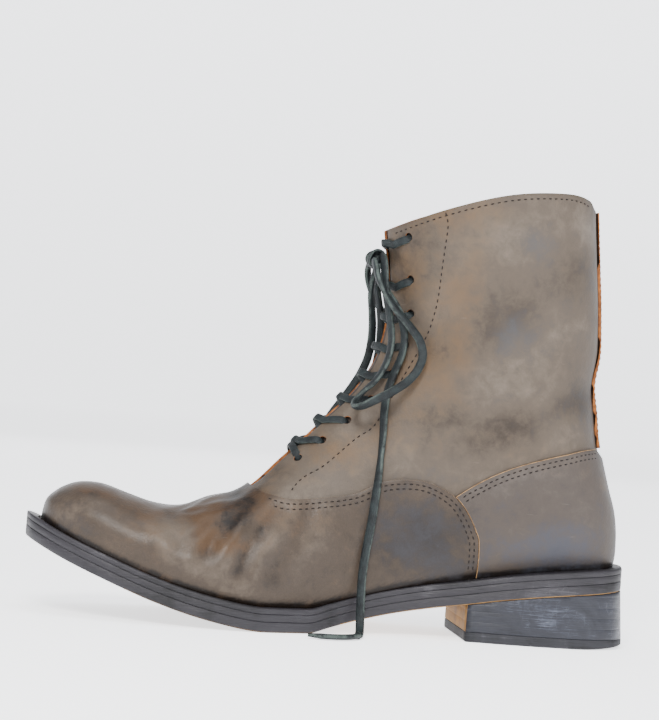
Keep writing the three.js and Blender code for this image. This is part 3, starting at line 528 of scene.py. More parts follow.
# The hanging laces of the bow. Each is one flat, limp lace that follows its route from the knot, half
# turning now and then so that its broad face and its edge show by turns.
LOOP_NEAR = [
    (97.1, 7.9, 191.4), (97.1, 10.6, 191.3), (97, 14.2, 190), (96.8, 16.9, 187), (96.4, 17.9, 182.6),
    (95.5, 17.6, 176), (93.9, 16.8, 168.5), (91.8, 16.6, 159.7), (90.3, 17.2, 149.6), (91.2, 17.7, 140.4),
    (94.2, 18, 132.5), (97.8, 17.8, 126.9), (101.9, 17.7, 122.7), (106, 20, 117.5), (107.4, 26.3, 114.2),
    (104.2, 32.6, 114.9), (99, 34.7, 118), (92.8, 33, 121.4), (86.9, 30.2, 125), (81.3, 27.6, 129.4),
    (76.9, 25.9, 135.2), (74.9, 25.6, 142), (76.8, 25.3, 149.4), (82.3, 24.9, 156.3), (88.6, 23.6, 163.1),
    (94.2, 22.6, 169.6), (98, 21.3, 176), (100.2, 19.2, 181.2), (101, 16.4, 185.4), (101.2, 13, 187.8),
    (101.2, 10.2, 188.4), (101.2, 7.9, 188.4),
]
LOOP_FAR = [
    (101.2, -7.9, 188.4), (101.2, -10.4, 188.4), (101.1, -13.8, 187.3), (100.8, -17, 184.4),
    (99.8, -19.6, 180), (97.6, -21.3, 174.6), (94, -22, 168.2), (89, -21.6, 161.7), (83.3, -21.9, 155.2),
    (78, -23.3, 148), (74.5, -24.6, 139.8), (73, -25.2, 131), (74.7, -25.6, 122.3), (80, -25.2, 115.8),
    (86.4, -23.7, 114.5), (91.7, -21.2, 118.6), (93.5, -18.8, 127), (92.5, -17.8, 136), (91.5, -17.2, 147),
    (91.8, -16.9, 158), (93.6, -17, 168.5), (95.3, -17.7, 177), (96.4, -17.9, 182.8), (96.8, -16.9, 187.2),
    (97, -14.2, 190.1), (97.1, -10.6, 191.4), (97.1, -7.9, 191.4),
]
END_SHORT = [
    (98.6, -3.8, 185.6), (98.8, -3.9, 183.2), (99.4, -5.4, 178.6), (99.2, -8, 171.5), (97.8, -10.8, 164),
    (96.7, -12.8, 156), (96.5, -14.2, 147.5), (97.6, -15.4, 139), (100.4, -16.2, 131),
    (104.4, -16.8, 123.5), (109, -17.4, 116.5), (113.6, -18, 109.8), (118, -18.8, 103),
]
END_LONG = [
    (98.6, 3.8, 185.6), (98.5, 4.1, 183.3), (97.8, 6.1, 180), (96, 9.2, 176.8), (93.4, 12.8, 172.6),
    (90, 16.4, 167.6), (86.6, 19.2, 161.2), (84.2, 19.8, 152.4), (84.4, 18.9, 143), (87.4, 18.6, 133.5),
    (90.4, 19.6, 123.7), (91.7, 21.9, 113.5), (91.9, 25.3, 100.9), (92.8, 29.3, 85.8), (94.2, 33.4, 70.8),
    (95.9, 35.9, 54.8), (97.6, 37, 41.7), (98.4, 37.4, 31), (98.3, 37.4, 20), (98.1, 38.4, 11),
    (98.2, 41.6, 5), (98.8, 46.2, 2.3), (100, 51.4, 1.8), (102.7, 56.9, 1.8), (107.1, 61.4, 1.8),
    (113, 64, 1.8), (119.6, 64.4, 1.8), (126, 62.4, 1.8),
]
LACE_WIDE = 4.4
LACE_THICK = 3.1


def centripetal(points, step):
    """A smooth line through the points, with one point every step."""
    points = np.array(points, float)
    points = np.vstack([2 * points[0] - points[1], points, 2 * points[-1] - points[-2]])
    line = []
    for a, b, c, d in zip(points, points[1:], points[2:], points[3:]):
        knots = np.cumsum([0] + [math.sqrt(np.linalg.norm(q - p)) for p, q in ((a, b), (b, c), (c, d))])
        t = np.linspace(knots[1], knots[2], 24, endpoint=False)[:, None]
        k0, k1, k2, k3 = knots
        ab = (k1 - t) / (k1 - k0) * a + (t - k0) / (k1 - k0) * b
        bc = (k2 - t) / (k2 - k1) * b + (t - k1) / (k2 - k1) * c
        cd = (k3 - t) / (k3 - k2) * c + (t - k2) / (k3 - k2) * d
        abc = (k2 - t) / (k2 - k0) * ab + (t - k0) / (k2 - k0) * bc
        bcd = (k3 - t) / (k3 - k1) * bc + (t - k1) / (k3 - k1) * cd
        line.extend((k2 - t) / (k2 - k1) * abc + (t - k1) / (k2 - k1) * bcd)
    line.append(points[-2])
    return even_steps(np.array(line), step)


def even_steps(line, step):
    gone = np.concatenate([[0], np.cumsum(np.linalg.norm(np.diff(line, axis=0), axis=1))])
    count = max(2, round(gone[-1] / step))
    marks = np.linspace(0, gone[-1], count + 1)
    return np.stack([np.interp(marks, gone, line[:, k]) for k in range(line.shape[1])], -1)


def flat_lace(bm, line, faces, turns, wide=LACE_WIDE, thick=LACE_THICK, sides=14, tip=0.0):
    """A rounded flat lace along a line. faces gives the way its broad side looks at each point, and turns
    the twist there in radians."""
    count = len(line)
    made = bmesh.ops.create_grid(bm, x_segments=count - 1, y_segments=sides, size=1)["verts"]
    uv = bm.loops.layers.uv.verify()
    run = np.gradient(line, axis=0)
    run /= np.linalg.norm(run, axis=1, keepdims=True)
    across = np.cross(faces, run)
    across /= np.maximum(np.linalg.norm(across, axis=1, keepdims=True), 1e-9)
    up_side = np.cross(run, across)
    spot = {}
    for v in made:
        i = round((v.co.x + 1) / 2 * (count - 1))
        j = round((v.co.y + 1) / 2 * sides)
        spot[v] = (i, j)
    for v, (i, j) in spot.items():
        turn = 2 * math.pi * j / sides
        c, s = math.cos(turn), math.sin(turn)
        side = math.copysign(abs(c) ** 0.8, c) * wide / 2
        face = math.copysign(abs(s) ** 0.8, s) * thick / 2 * (1 - 0.12 * (1 - abs(c)))
        narrow = 1 - tip * max(0, 1 - (count - 1 - i) / 4)
        twist = turns[i]
        a = across[i] * math.cos(twist) + up_side[i] * math.sin(twist)
        b = up_side[i] * math.cos(twist) - across[i] * math.sin(twist)
        v.co = Vector(line[i] + (a * side + b * face) * narrow)
    for face in {f for v in made for f in v.link_faces}:
        for loop in face.loops:
            i, j = spot[loop.vert]
            loop[uv].uv = (i / (count - 1), j / sides)
    bmesh.ops.remove_doubles(bm, verts=made, dist=0.0005)
    ends = [e for e in bm.edges if e.is_boundary]
    if ends:
        bmesh.ops.holes_fill(bm, edges=ends)
    bmesh.ops.recalc_face_normals(bm, faces=bm.faces)


def lace_material():
    """Waxed leather lace: grey green, paler along its two edges, with a fine grain."""
    material, tree, shader, place = new_material("lace", 0.25)
    uv = node(tree, "ShaderNodeTexCoord").outputs["UV"]
    round_it = node(tree, "ShaderNodeSeparateXYZ", Vector=uv).outputs["Y"]
    edge = ramp(tree, combine(tree, "COSINE", times(tree, round_it, 4 * math.pi), 0), 0.35, 0.95)
    patches = noise(tree, place, 210, 4, 0.6)
    colour = mix_colour(tree, ramp(tree, patches, 0.3, 0.7), tint(14, 18, 20), tint(30, 38, 39))
    rubbed = times(tree, edge, ramp(tree, patches, 0.35, 0.6))
    colour = mix_colour(tree, rubbed, colour, tint(66, 75, 71))
    grain = node(tree, "ShaderNodeTexVoronoi", Vector=place, Scale=1500).outputs["Distance"]
    colour = mix_colour(tree, times(tree, grain, 0.45), colour, tint(8, 10, 11))
    surface(tree, shader, colour, 0.62, grain, 0.7, 0.00025)
    return material


lace_leather = lace_material()


def hanging_lace(name, stands_for, points, twists, tip=0.0):
    """Lay a lace along its points, with its broad side away from the middle of the shaft."""
    line = centripetal(points, 1.6)
    faces = (line - np.array([55.0, 0, 0])) * np.array([0.4, 1, 0])
    faces /= np.linalg.norm(faces, axis=1, keepdims=True)
    marks = np.linspace(0, 1, len(line))
    turns = np.interp(marks, *zip(*twists))
    bm = bmesh.new()
    flat_lace(bm, line, faces, turns, tip=tip)
    piece = add_piece(name, bm, [lace_leather], [stands_for])


hanging_lace("near_loop", "lace_loop_near", LOOP_NEAR,
             [(0, 0), (0.2, 0.3), (0.35, 0.7), (0.45, 1.4), (0.55, 0.5), (0.7, 0.2), (0.85, 1.5), (1, 3.1)])
hanging_lace("far_loop", "lace_loop_far", LOOP_FAR,
             [(0, 0), (0.3, -0.5), (0.5, -1.4), (0.7, -1.0), (1, -2.8)])
hanging_lace("short_end", "lace_end_short", END_SHORT,
             [(0, 0), (0.4, 0.4), (0.7, 1.3), (1, 2.4)], 0.35)
hanging_lace("long_end", "lace_end_long", END_LONG,
             [(0, 0), (0.2, 0.5), (0.35, 0.2), (0.45, 0.9), (0.55, 0.1), (0.78, 0.2), (0.86, -1.2),
              (1, -1.5)],
             0.35)


# Lines seen from the side: the collar, the edge of the vamp and the top of the counter, as shares of the
# sole's length and the shaft's height.
COLLAR_LINE = [(-0.1, 0.955), (0.05, 0.958), (0.095, 0.964), (0.1143, 0.988), (0.1604, 0.9964),
               (0.2575, 0.978), (0.3604, 0.9266), (0.4555, 0.858), (0.6, 0.745)]
VAMP_LINE = [(0.7, 0.42), (0.668, 0.225), (0.645, 0.176), (0.624, 0.147), (0.594, 0.134), (0.561, 0.137),
             (0.475, 0.163), (0.424, 0.203), (0.3685, 0.2125), (0.3295, 0.196), (0.2977, 0.1625),
             (0.271, 0.097), (0.261, 0.027), (0.261, -0.25)]
COUNTER_LINE = [(-0.1, 0.33), (0.0646, 0.3275), (0.135, 0.307), (0.2, 0.275), (0.25, 0.238), (0.292, 0.195),
                (0.34, 0.135)]


def side_line(rows):
    rows = np.array(rows, float)
    line = rows_at(rows, np.linspace(0, len(rows) - 1, 12 * (len(rows) - 1) + 1))
    return np.stack([HEEL_BACK + line[:, 0] * SOLE_LENGTH, up_shaft(line[:, 1])], -1)


collar_line = side_line(COLLAR_LINE)
vamp_line = side_line(VAMP_LINE)
counter_line = side_line(COUNTER_LINE)


def left_of(points, line):
    """Signed distance in the side view from a line, positive on the left of its run."""
    flat = points[..., [0, 2]].reshape(-1, 2)
    best = np.full(len(flat), 1e9)
    signed = np.zeros(len(flat))
    for a, b in zip(line[:-1], line[1:]):
        run = b - a
        share = np.clip((flat - a) @ run / max(run @ run, 1e-9), 0, 1)
        gap = flat - (a + share[:, None] * run)
        gone = np.hypot(gap[:, 0], gap[:, 1])
        side = run[0] * (flat[:, 1] - a[1]) - run[1] * (flat[:, 0] - a[0])
        nearer = gone < best - 1e-9
        best = np.where(nearer, gone, best)
        signed = np.where(nearer, np.sign(side) * gone, signed)
    return signed.reshape(points.shape[:-1])


def below_collar(points, drop=0.0):
    return -left_of(points, collar_line) - drop


def in_vamp(points, grow=0.0):
    return left_of(points, vamp_line) + grow


def above_seat(points):
    return points[..., 2] - seat(points[..., 0])


# Panels of leather start as an even grid over the last, are cut along their lines and round their holes,
# and then get their thickness.
def grid_panel(bm, places, rounds):
    made = bmesh.ops.create_grid(bm, x_segments=len(places) - 1, y_segments=len(rounds) - 1, size=1)["verts"]
    for v in made:
        i = round((v.co.x + 1) / 2 * (len(places) - 1))
        j = round((v.co.y + 1) / 2 * (len(rounds) - 1))
        v.co = (places[i], rounds[j], 0)


def spots(verts):
    return np.array([v.co[:2] for v in verts])


def trim(bm, keep):
    """Cut the flat grid along the line where keep is zero, and take away the side where it is negative."""
    verts = bm.verts[:]
    here = spots(verts)
    values = keep(here[:, 0], here[:, 1])
    values = np.where(np.abs(values) < 1e-3, 1e-3, values)
    depth = dict(zip(verts, values))
    crossing = [e for e in bm.edges if depth[e.verts[0]] * depth[e.verts[1]] < 0]
    if not crossing:
        bmesh.ops.delete(bm, geom=[v for v in verts if depth[v] < 0], context="VERTS")
        return
    starts = spots([e.verts[0] for e in crossing])
    ends = spots([e.verts[1] for e in crossing])
    first = np.array([depth[e.verts[0]] for e in crossing])
    low, high = np.zeros(len(crossing)), np.ones(len(crossing))
    for _ in range(12):
        middle = (low + high) / 2
        at = starts + (ends - starts) * middle[:, None]
        same = keep(at[:, 0], at[:, 1]) * first > 0
        low, high = np.where(same, middle, low), np.where(same, high, middle)
    shares = (low + high) / 2
    nearest = {}
    for edge, share, start, end in zip(crossing, shares, starts, ends):
        for v, gone in ((edge.verts[0], share), (edge.verts[1], 1 - share)):
            if gone < 0.35 and gone < nearest.get(v, (1, 0))[0]:
                nearest[v] = (gone, start + (end - start) * share)
    for v, (gone, spot) in nearest.items():
        v.co.xy = spot
        depth[v] = 0
    cut = set(nearest)
    for edge, share in zip(crossing, shares):
        if depth[edge.verts[0]] * depth[edge.verts[1]] < 0:
            made = bmesh.utils.edge_split(edge, edge.verts[0], float(share))[1]
            depth[made] = 0
            cut.add(made)
    for face in {f for v in cut for f in v.link_faces}:
        ring = face.verts[:]
        signs = [depth[v] for v in ring]
        if min(signs) < 0 < max(signs):
            first = next(k for k in range(len(ring)) if signs[k] < 0 and signs[k - 1] >= 0)
            after = first
            while signs[after % len(ring)] < 0:
                after += 1
            bmesh.utils.face_split(face, ring[first - 1], ring[after % len(ring)])
    bmesh.ops.delete(bm, geom=[v for v in bm.verts if depth[v] < 0], context="VERTS")


def lay_on_last(bm, offset):
    """Move the cut grid onto the last, and weld it where its sides meet."""
    verts = bm.verts[:]
    here = spots(verts)
    for v, point in zip(verts, skin(here[:, 0], here[:, 1], offset)):
        v.co = point
    bmesh.ops.remove_doubles(bm, verts=bm.verts, dist=0.02)
    bmesh.ops.dissolve_degenerate(bm, edges=bm.edges, dist=0.001)


# Where the leather is darker or lighter, cooler or warmer, or scuffed, in millimetres: x, height, radius
# along, radius up, side (1 inner, -1 outer, 0 both), then tone, warmth and scuff. Some of the darker rows
# are painted shade, on the toe's top and in the creased flex of the vamp.
PATCHES = [
    # These two rows make the toe's top a darker, warmer brown, with painted shade where the top turns away
    # from the light.
    (225, 66, 34, 5, 0, -0.9, 1.3, 0), (196, 60, 26, 7, 0, -0.6, 0.9, 0),
    (246, 52, 10, 9, 1, 0.35, -0.3, 0.2), (218, 58, 22, 5, 1, 0.35, -0.1, 0),
    # The rows at x 162, 156 and 150 darken the creased flex of the vamp, partly its own colour and partly
    # painted shade down in the creases.
    (162, 58, 13, 10, 0, -1.2, 0, 0), (156, 70, 12, 8, 0, -0.7, 0.4, 0),
    (150, 78, 14, 6, 0, -0.5, 0.4, 0), (180, 56, 6, 14, 1, -0.05, 0.9, 0),
    (170, 42, 12, 6, 1, 0.1, 0.9, 0), (178, 62, 8, 5, 0, 0, 0.9, 0), (140, 52, 20, 14, 1, 0.35, 0.1, 0),
    (196, 46, 24, 6, 1, 0.3, 0.1, 0), (148, 60, 8, 8, 1, 0.3, 0.5, 0), (100, 62, 22, 12, 1, 0, -0.1, 0),
    (66, 58, 20, 18, 1, -0.5, -0.4, 0), (54, 38, 16, 12, 1, -0.3, -0.4, 0),
    (88, 44, 24, 14, 1, -0.35, -0.35, 0), (10, 96, 26, 10, 0, 0, 0.3, 0),
    (-8, 54, 20, 14, 1, 0, -0.5, 0), (16, 48, 22, 10, 1, -0.1, -0.5, 0),
    (-30, 84, 8, 7, 1, 0.2, 0.6, 0.3), (24, 204, 16, 12, 1, -0.05, -0.5, 0),
    (-8, 190, 12, 16, 1, -0.3, -0.3, 0), (34, 156, 14, 12, 1, 0, -0.5, 0),
    (-6, 212, 8, 8, 1, 0.5, 0, 0), (84, 190, 12, 26, 0, -0.45, 0.5, 0),
    (74, 130, 22, 24, 0, -0.15, 0.6, 0), (90, 98, 22, 12, 0, 0, 0.6, 0),
    (4, 136, 22, 18, 0, -0.25, 0, 0), (58, 170, 14, 30, 1, 0.1, 0.7, 0),
    (112, 90, 16, 9, 0, -0.1, 0.5, 0), (-14, 118, 12, 20, 0, -0.2, -0.2, 0),
    (44, 112, 28, 8, 0, -0.3, -0.1, 0), (66, 214, 30, 8, 1, 0.15, 0.5, 0),
    (130, 44, 36, 6, 1, 0.1, 0, 0), (40, 88, 18, 12, 0, 0.1, 0, 0), (182, 56, 14, 14, -1, -0.5, 0.2, 0),
    (30, 190, 30, 26, -1, 0.05, -0.4, 0), (0, 60, 30, 18, -1, -0.1, -0.4, 0),
    (235, 48, 14, 8, -1, 0.3, 0.3, 0.2), (150, 46, 22, 10, -1, 0.25, 0.15, 0),
    (60, 130, 30, 24, -1, -0.1, 0.5, 0),
]


# How strongly the upper darkens just over the welt: painted shade of the gap there, with some dirt.
WELT_GAP_SHADE_AND_DIRT = 1.8


def paint(piece_bm, strength=1.0, edge=None):
    """Attributes for the leather's colour at each point of a mesh in millimetres, with painted shade in the
    creases and over the welt.
    """
    points = np.array([v.co[:] for v in piece_bm.verts])
    tone, warmth, scuff = np.zeros(len(points)), np.zeros(len(points)), np.zeros(len(points))
    for x, z, rx, rz, side, dark, warm, worn in PATCHES:
        away = ((points[:, 0] - x) / rx) ** 2 + ((points[:, 2] - z) / rz) ** 2
        share = np.exp(-away)
        if side:
            share *= 1 / (1 + np.exp(-side * points[:, 1] / 4))
        tone += dark * share
        warmth += warm * share
        scuff += worn * share
    # Painted shade and light from the creases: darker down in each crease, lighter on the ridge beside it.
    worn = crease_height(points)
    tone += 0.55 * np.clip(worn, -1.6, 0.6)
    # Painted shade and dirt: the upper turns dark in the last few millimetres over the welt, where the gap
    # under it is in shadow.
    low = np.clip(1 - (points[:, 2] - seat(points[:, 0]) - WELT_THICK + 0.6) / 4.5, 0, 1)
    tone -= WELT_GAP_SHADE_AND_DIRT * low
    if edge is not None:
        near_edge = np.exp(-((np.maximum(edge(points), 0) / 1.1) ** 2))
        tone -= 0.1 * near_edge
    for name, values in (("tone", tone), ("warmth", warmth), ("scuff", scuff)):
        layer = piece_bm.verts.layers.float.new(name)
        for v, value in zip(piece_bm.verts, values * strength):
            v[layer] = float(value)


LINING_SLOT = 1
EDGE_SLOT = 2


def thicken(piece, thickness, edge_round):
    """Give a panel its thickness inwards, with the lining and the cut edge in their own materials."""
    solid = piece.modifiers.new("thickness", "SOLIDIFY")
    solid.thickness = thickness
    solid.offset = -1
    solid.use_even_offset = True
    solid.thickness_clamp = 1
    solid.material_offset = LINING_SLOT
    solid.material_offset_rim = EDGE_SLOT
    soft = piece.modifiers.new("edge", "BEVEL")
    soft.width = edge_round
    soft.segments = 2
    soft.limit_method = "ANGLE"
    soft.angle_limit = math.radians(50)
    soft.use_clamp_overlap = True
    soft.material = EDGE_SLOT


def panel(name, stands_for, places, rounds, cuts, offset, materials, sizes, slot="upper_leather", **look):
    """A panel of leather cut from a grid over the last. Sizes are its thickness and its edge's rounding."""
    bm = bmesh.new()
    grid_panel(bm, places, rounds)
    for keep in cuts:
        trim(bm, keep)
    lay_on_last(bm, offset)
    paint(bm, **look)
    thicken(add_piece(name, bm, materials, [stands_for]), *sizes)


# The throat, a narrow slot up the ridge with a rounded foot, and the punched lace holes beside it. Each
# hole has the height of the ridge on its section, and its distance from the facing's edge.
THROAT_GAP = 13
HOLE_DIAMETER = 4.4
HOLE_SETBACK = 19
HOLES = [(0.8974, 1), (0.794, 0.95), (0.7094, 0.92), (0.626, 0.84), (0.544, 0.74), (0.466, 0.63),
         (0.401, 0.55), (0.338, 0.5), (0.277, 0.42)]


def place_where(column, value):
    places = np.linspace(0, LAST_ROW, 6000)
    return float(places[np.argmin(np.abs(rows_at(UPPER_SECTIONS, places)[:, column] - value))])


THROAT_ROW = place_where(2, 0.648)


def round_at(place, reach):
    """The round at an arc length from the ridge, inner side positive."""
    rounds = np.linspace(1, 0.3, 600)
    line = last(place, rounds)
    walked = np.concatenate([[0], np.cumsum(np.linalg.norm(np.diff(line, axis=0), axis=1))])
    found = float(np.interp(abs(reach), walked, rounds))
    return found if reach > 0 else 2 - found


hole_places = [place_where(3, ridge) for ridge, setback in HOLES]
hole_reaches = [THROAT_GAP / 2 + setback * HOLE_SETBACK for ridge, setback in HOLES]
hole_centres = [last(place, round_at(place, side * reach))
                for place, reach in zip(hole_places, hole_reaches) for side in (1, -1)]


def outside_throat(places, rounds, half=THROAT_GAP / 2, lead=0.0, taper=1.2):
    width = half * np.sqrt(np.clip((places - THROAT_ROW + lead) / taper, 0, 1))
    ridge = last(places, np.ones_like(places))
    points = last(places, rounds)
    gap = np.abs(points[..., 1] - ridge[..., 1]) - width
    facing = np.abs(rounds - 1) < 0.45
    return np.where(facing, np.where(places > THROAT_ROW - lead, gap, 3.0), 9.0)


def outside_holes(places, rounds):
    points = last(places, rounds)
    nearest = np.full(len(points), 50.0)
    for centre in hole_centres:
        nearest = np.minimum(nearest, np.linalg.norm(points - centre, axis=-1))
    return nearest - HOLE_DIAMETER / 2


def fine_round_holes(bm):
    here = spots(bm.verts)
    near = outside_holes(here[:, 0], here[:, 1]) < 2.2
    close = {v for v, flag in zip(bm.verts, near) if flag}
    edges = [e for e in bm.edges if e.verts[0] in close and e.verts[1] in close]
    bmesh.ops.subdivide_edges(bm, edges=edges, cuts=2, use_grid_fill=True)


# The shaft and the hidden foot part of the upper: one hollow shell, open at the collar, down the throat
# and underneath.
shaft = bmesh.new()
grid_panel(shaft, np.linspace(-1, LAST_ROW, 6 * (LAST_ROW + 1) + 1), np.linspace(0, 2, 169))
trim(shaft, lambda p, r: above_seat(last(p, r)))
trim(shaft, lambda p, r: below_collar(last(p, r)))
trim(shaft, outside_throat)
fine_round_holes(shaft)
trim(shaft, outside_holes)
lay_on_last(shaft, 0)
paint(shaft, edge=below_collar)
thicken(add_piece("shaft", shaft, [shaft_leather, lining, brown_edge], ["upper"]), 0.0022, 0.0004)

# The vamp, from the toe back along both sides, with a raw pale edge.
OVERLAY_TOP = 1.8
OVERLAY_THICK = 0.00176
VAMP_END = 21


def over_seat(places, rounds):
    return above_seat(last(places, rounds))


def below_counter(points):
    return -left_of(points, counter_line)


panel("vamp_panel", "vamp", np.linspace(-1, VAMP_END, 6 * (VAMP_END + 1) + 1), np.linspace(0, 2, 193),
      [over_seat, lambda p, r: in_vamp(last(p, r))], OVERLAY_TOP, [vamp_leather, lining, raw_edge],
      (OVERLAY_THICK, 0.0008), edge=in_vamp)

# The counter round the heel, which runs under the vamp's edge.
panel("counter", "heel_counter", np.linspace(13, 24, 91), np.linspace(-0.7, 0.7, 161),
      [over_seat, lambda p, r: np.minimum(below_counter(last(p, r)), -in_vamp(last(p, r), FIT_GAP))],
      OVERLAY_TOP, [counter_leather, lining, raw_edge], (OVERLAY_THICK, 0.0008), edge=below_counter)

# The backstay, a narrow strip up the back seam that widens where it meets the counter.
BACKSTAY_WIDTH = 9
BACKSTAY_FOOT = 30


def strip_half(height):
    """Half the strip's width at a height."""
    share = np.clip((height - up_shaft(0.2)) / (SHAFT_HEIGHT * 0.5), 0, 1)
    return BACKSTAY_WIDTH / 2 + (BACKSTAY_FOOT - BACKSTAY_WIDTH) / 2 * (1 - share) ** 2


def in_backstay(points):
    return strip_half(points[..., 2]) - np.abs(points[..., 1])


panel("back_strip", "backstay", np.linspace(18, LAST_ROW, 91), np.linspace(-0.2, 0.2, 49),
      [lambda p, r: np.minimum(left_of(last(p, r), counter_line) - FIT_GAP, below_collar(last(p, r))),
       lambda p, r: in_backstay(last(p, r))], OVERLAY_TOP, [shaft_leather, lining, brown_edge],
      (OVERLAY_THICK, 0.0005), edge=in_backstay)

# The tongue, under the facings.
TONGUE_WIDTH = 50
TONGUE_DROP = 4
panel("soft_tongue", "tongue", np.linspace(THROAT_ROW - 0.7, LAST_ROW - 0.5, 150), np.linspace(0.6, 1.4, 65),
      [lambda p, r: below_collar(last(p, r), TONGUE_DROP),
       lambda p, r: -outside_throat(p, r, TONGUE_WIDTH / 2, 0.7, 1.5)], -2.5,
      [tongue_leather, lining, brown_edge], (0.002, 0.0004), "lining_leather", strength=0.5)


# The lacing over the tongue: at each pair of holes a strand comes up out of each hole, runs over its own
# facing and the throat, and goes down under the far facing. At the lowest pair one strand lies straight.
STRAND_WIDE = 4.0
STRAND_THIN = 1.8
FIRST_DROP, DROP = 0.66, 0.9  # how far to the next pair of holes a strand falls


def lacing_strand(bm, start_place, end_place, reaches, heights,
                  fall=((0, 0), (0.1, 0.12), (0.4, 0.72), (0.7, 0.92), (1, 1))):
    shares = np.linspace(0, 1, 34)
    marks = [mark for mark, value in reaches]
    arcs = np.interp(shares, marks, [value for mark, value in reaches])
    lifts = np.interp(shares, *zip(*heights))
    for _ in range(2):
        lifts[1:-1] = (lifts[:-2] + 2 * lifts[1:-1] + lifts[2:]) / 4
    places = start_place + (end_place - start_place) * np.interp(shares, *zip(*fall))
    rounds = np.array([round_at(place, arc) for place, arc in zip(places, arcs)])
    faces = last_normal(places, rounds)
    points = last(places, rounds) + faces * lifts[:, None]
    flat_lace(bm, points, faces, np.zeros(len(points)), STRAND_WIDE, STRAND_THIN, sides=12)


for i in range(len(HOLES) - 1):
    crossing = bmesh.new()
    reach = hole_reaches[i]
    far_edge = -(THROAT_GAP / 2 + 2.2)
    drop = hole_places[i] + (hole_places[i + 1] - hole_places[i]) * (DROP if i else FIRST_DROP)
    for side in (1, -1):
        over = 1.5 if (side > 0) == (i % 2 == 0) else 0.1
        lacing_strand(
            crossing, hole_places[i], drop,
            [(0, side * (reach - 0.2)), (0.1, side * (reach - 1.2)), (1, side * far_edge)],
            [(0, -3.4), (0.06, -0.6), (0.13, 1.15), (0.3, 1.25), (0.5, 1.0), (0.64, 0.6 + over),
             (0.78, 0.5), (0.9, -2.0), (1, -3.3)],
        )
    add_piece(f"lacing_{i + 1}", crossing, [lace_leather], [f"lace_crossing_{i + 1}"])

bar = bmesh.new()
lowest = hole_reaches[-1]
lacing_strand(bar, hole_places[-1], hole_places[-1], [(0, lowest - 0.2), (1, 0.2 - lowest)],
              [(0, -3.4), (0.06, -0.6), (0.14, 1.15), (0.3, 1.25), (0.5, 1.1), (0.7, 1.25), (0.86, 1.15),
               (0.94, -0.6), (1, -3.4)])
add_piece("lacing_9", bar, [lace_leather], ["lace_crossing_9"])

# The knot of the bow: the lace wrapped round itself over the throat, with a band across its middle.
KNOT_MIDDLE = np.array([99.3, 0, 190])
knot = bmesh.new()


def wrap(bm, turns, start, end, radius, tilt, phase, wide, thick):
    t = np.linspace(0, 1, int(34 * turns) + 2)
    angle = phase + 2 * math.pi * turns * t
    reach = radius * (1 + 0.07 * np.sin(3 * angle + phase))
    side = start + (end - start) * t + tilt * np.sin(angle)
    outwards = np.stack([np.cos(angle), 0 * angle, np.sin(angle)], -1)
    points = KNOT_MIDDLE + outwards * reach[:, None] + np.stack([0 * side, side, 0 * side], -1)
    flat_lace(bm, points, outwards, np.zeros(len(points)), wide, thick, sides=12)


wrap(knot, 1.7, -6.4, -1.6, 3.1, 0.9, 0.4, 4.0, 2.2)
wrap(knot, 1.7, 6.4, 1.6, 3.1, -0.9, 2.0, 4.0, 2.2)
wrap(knot, 1.35, -1.2, 1.6, 4.5, 1.3, 1.2, 4.2, 1.7)
wrap(knot, 1.0, 7.6, 4.2, 4.2, 1.6, 3.4, 3.8, 1.7)
core = np.stack([np.full(12, KNOT_MIDDLE[0]), np.linspace(-6.6, 6.6, 12), np.full(12, KNOT_MIDDLE[2])], -1)
flat_lace(knot, core, np.tile([1.0, 0, 0.2], (12, 1)), np.zeros(12), 4.4, 4.2)
add_piece("knot", knot, [lace_leather], ["lace_knot"])


def loft(bm, points, loose=False):
    """A mesh over an array of points, row by row, welded where its points meet."""
    rows, columns = points.shape[:2]
    made = bmesh.ops.create_grid(bm, x_segments=rows - 1, y_segments=columns - 1, size=1)["verts"]
    for v in made:
        v.co = points[round((v.co.x + 1) / 2 * (rows - 1)), round((v.co.y + 1) / 2 * (columns - 1))]
    if not loose:
        bmesh.ops.remove_doubles(bm, verts=bm.verts, dist=0.004)
        bmesh.ops.dissolve_degenerate(bm, edges=bm.edges, dist=0.0005)
        bmesh.ops.recalc_face_normals(bm, faces=bm.faces)


# The sole: outsole, midsole and welt, each a plate inside the same outline with its own edge. Their edges
# are dyed dark and burnished, and the underside is left natural at the waist.
HEEL_LENGTH = 84
HEEL_FLARE = 2.6
FLARE_REACH = 0.25


def sole_loop(end=len(SOLE_OUTLINE) - 1.0, across=10):
    """The outline as a closed line of points, with the middle of the sole beside each."""
    rows = rows_at(SOLE_OUTLINE, np.linspace(0, end, int(6 * end) + 1))
    x = HEEL_BACK + rows[:, 0] * SOLE_LENGTH
    half, middle = rows[:, 1] * BALL_WIDTH, rows[:, 2] * BALL_WIDTH
    near, far = np.stack([x, middle + half], -1), np.stack([x, middle - half], -1)
    share = np.linspace(0, 1, across + 1)[1:-1, None]
    front = near[-1] * (1 - share) + far[-1] * share
    rear = far[0] * (1 - share) + near[0] * share
    loop = np.vstack([near, front, far[::-1], rear, near[:1]])
    shares = (loop[:, 0] - HEEL_BACK) / SOLE_LENGTH
    return loop, np.interp(loop[:, 0], x, middle), shares


def outward(loop):
    """The way out of the outline at each of its points."""
    run = np.roll(loop[:-1], -1, axis=0) - np.roll(loop[:-1], 1, axis=0)
    normal = np.stack([-run[:, 1], run[:, 0]], -1)
    normal /= np.maximum(np.linalg.norm(normal, axis=1, keepdims=True), 1e-9)
    return np.vstack([normal, normal[:1]])


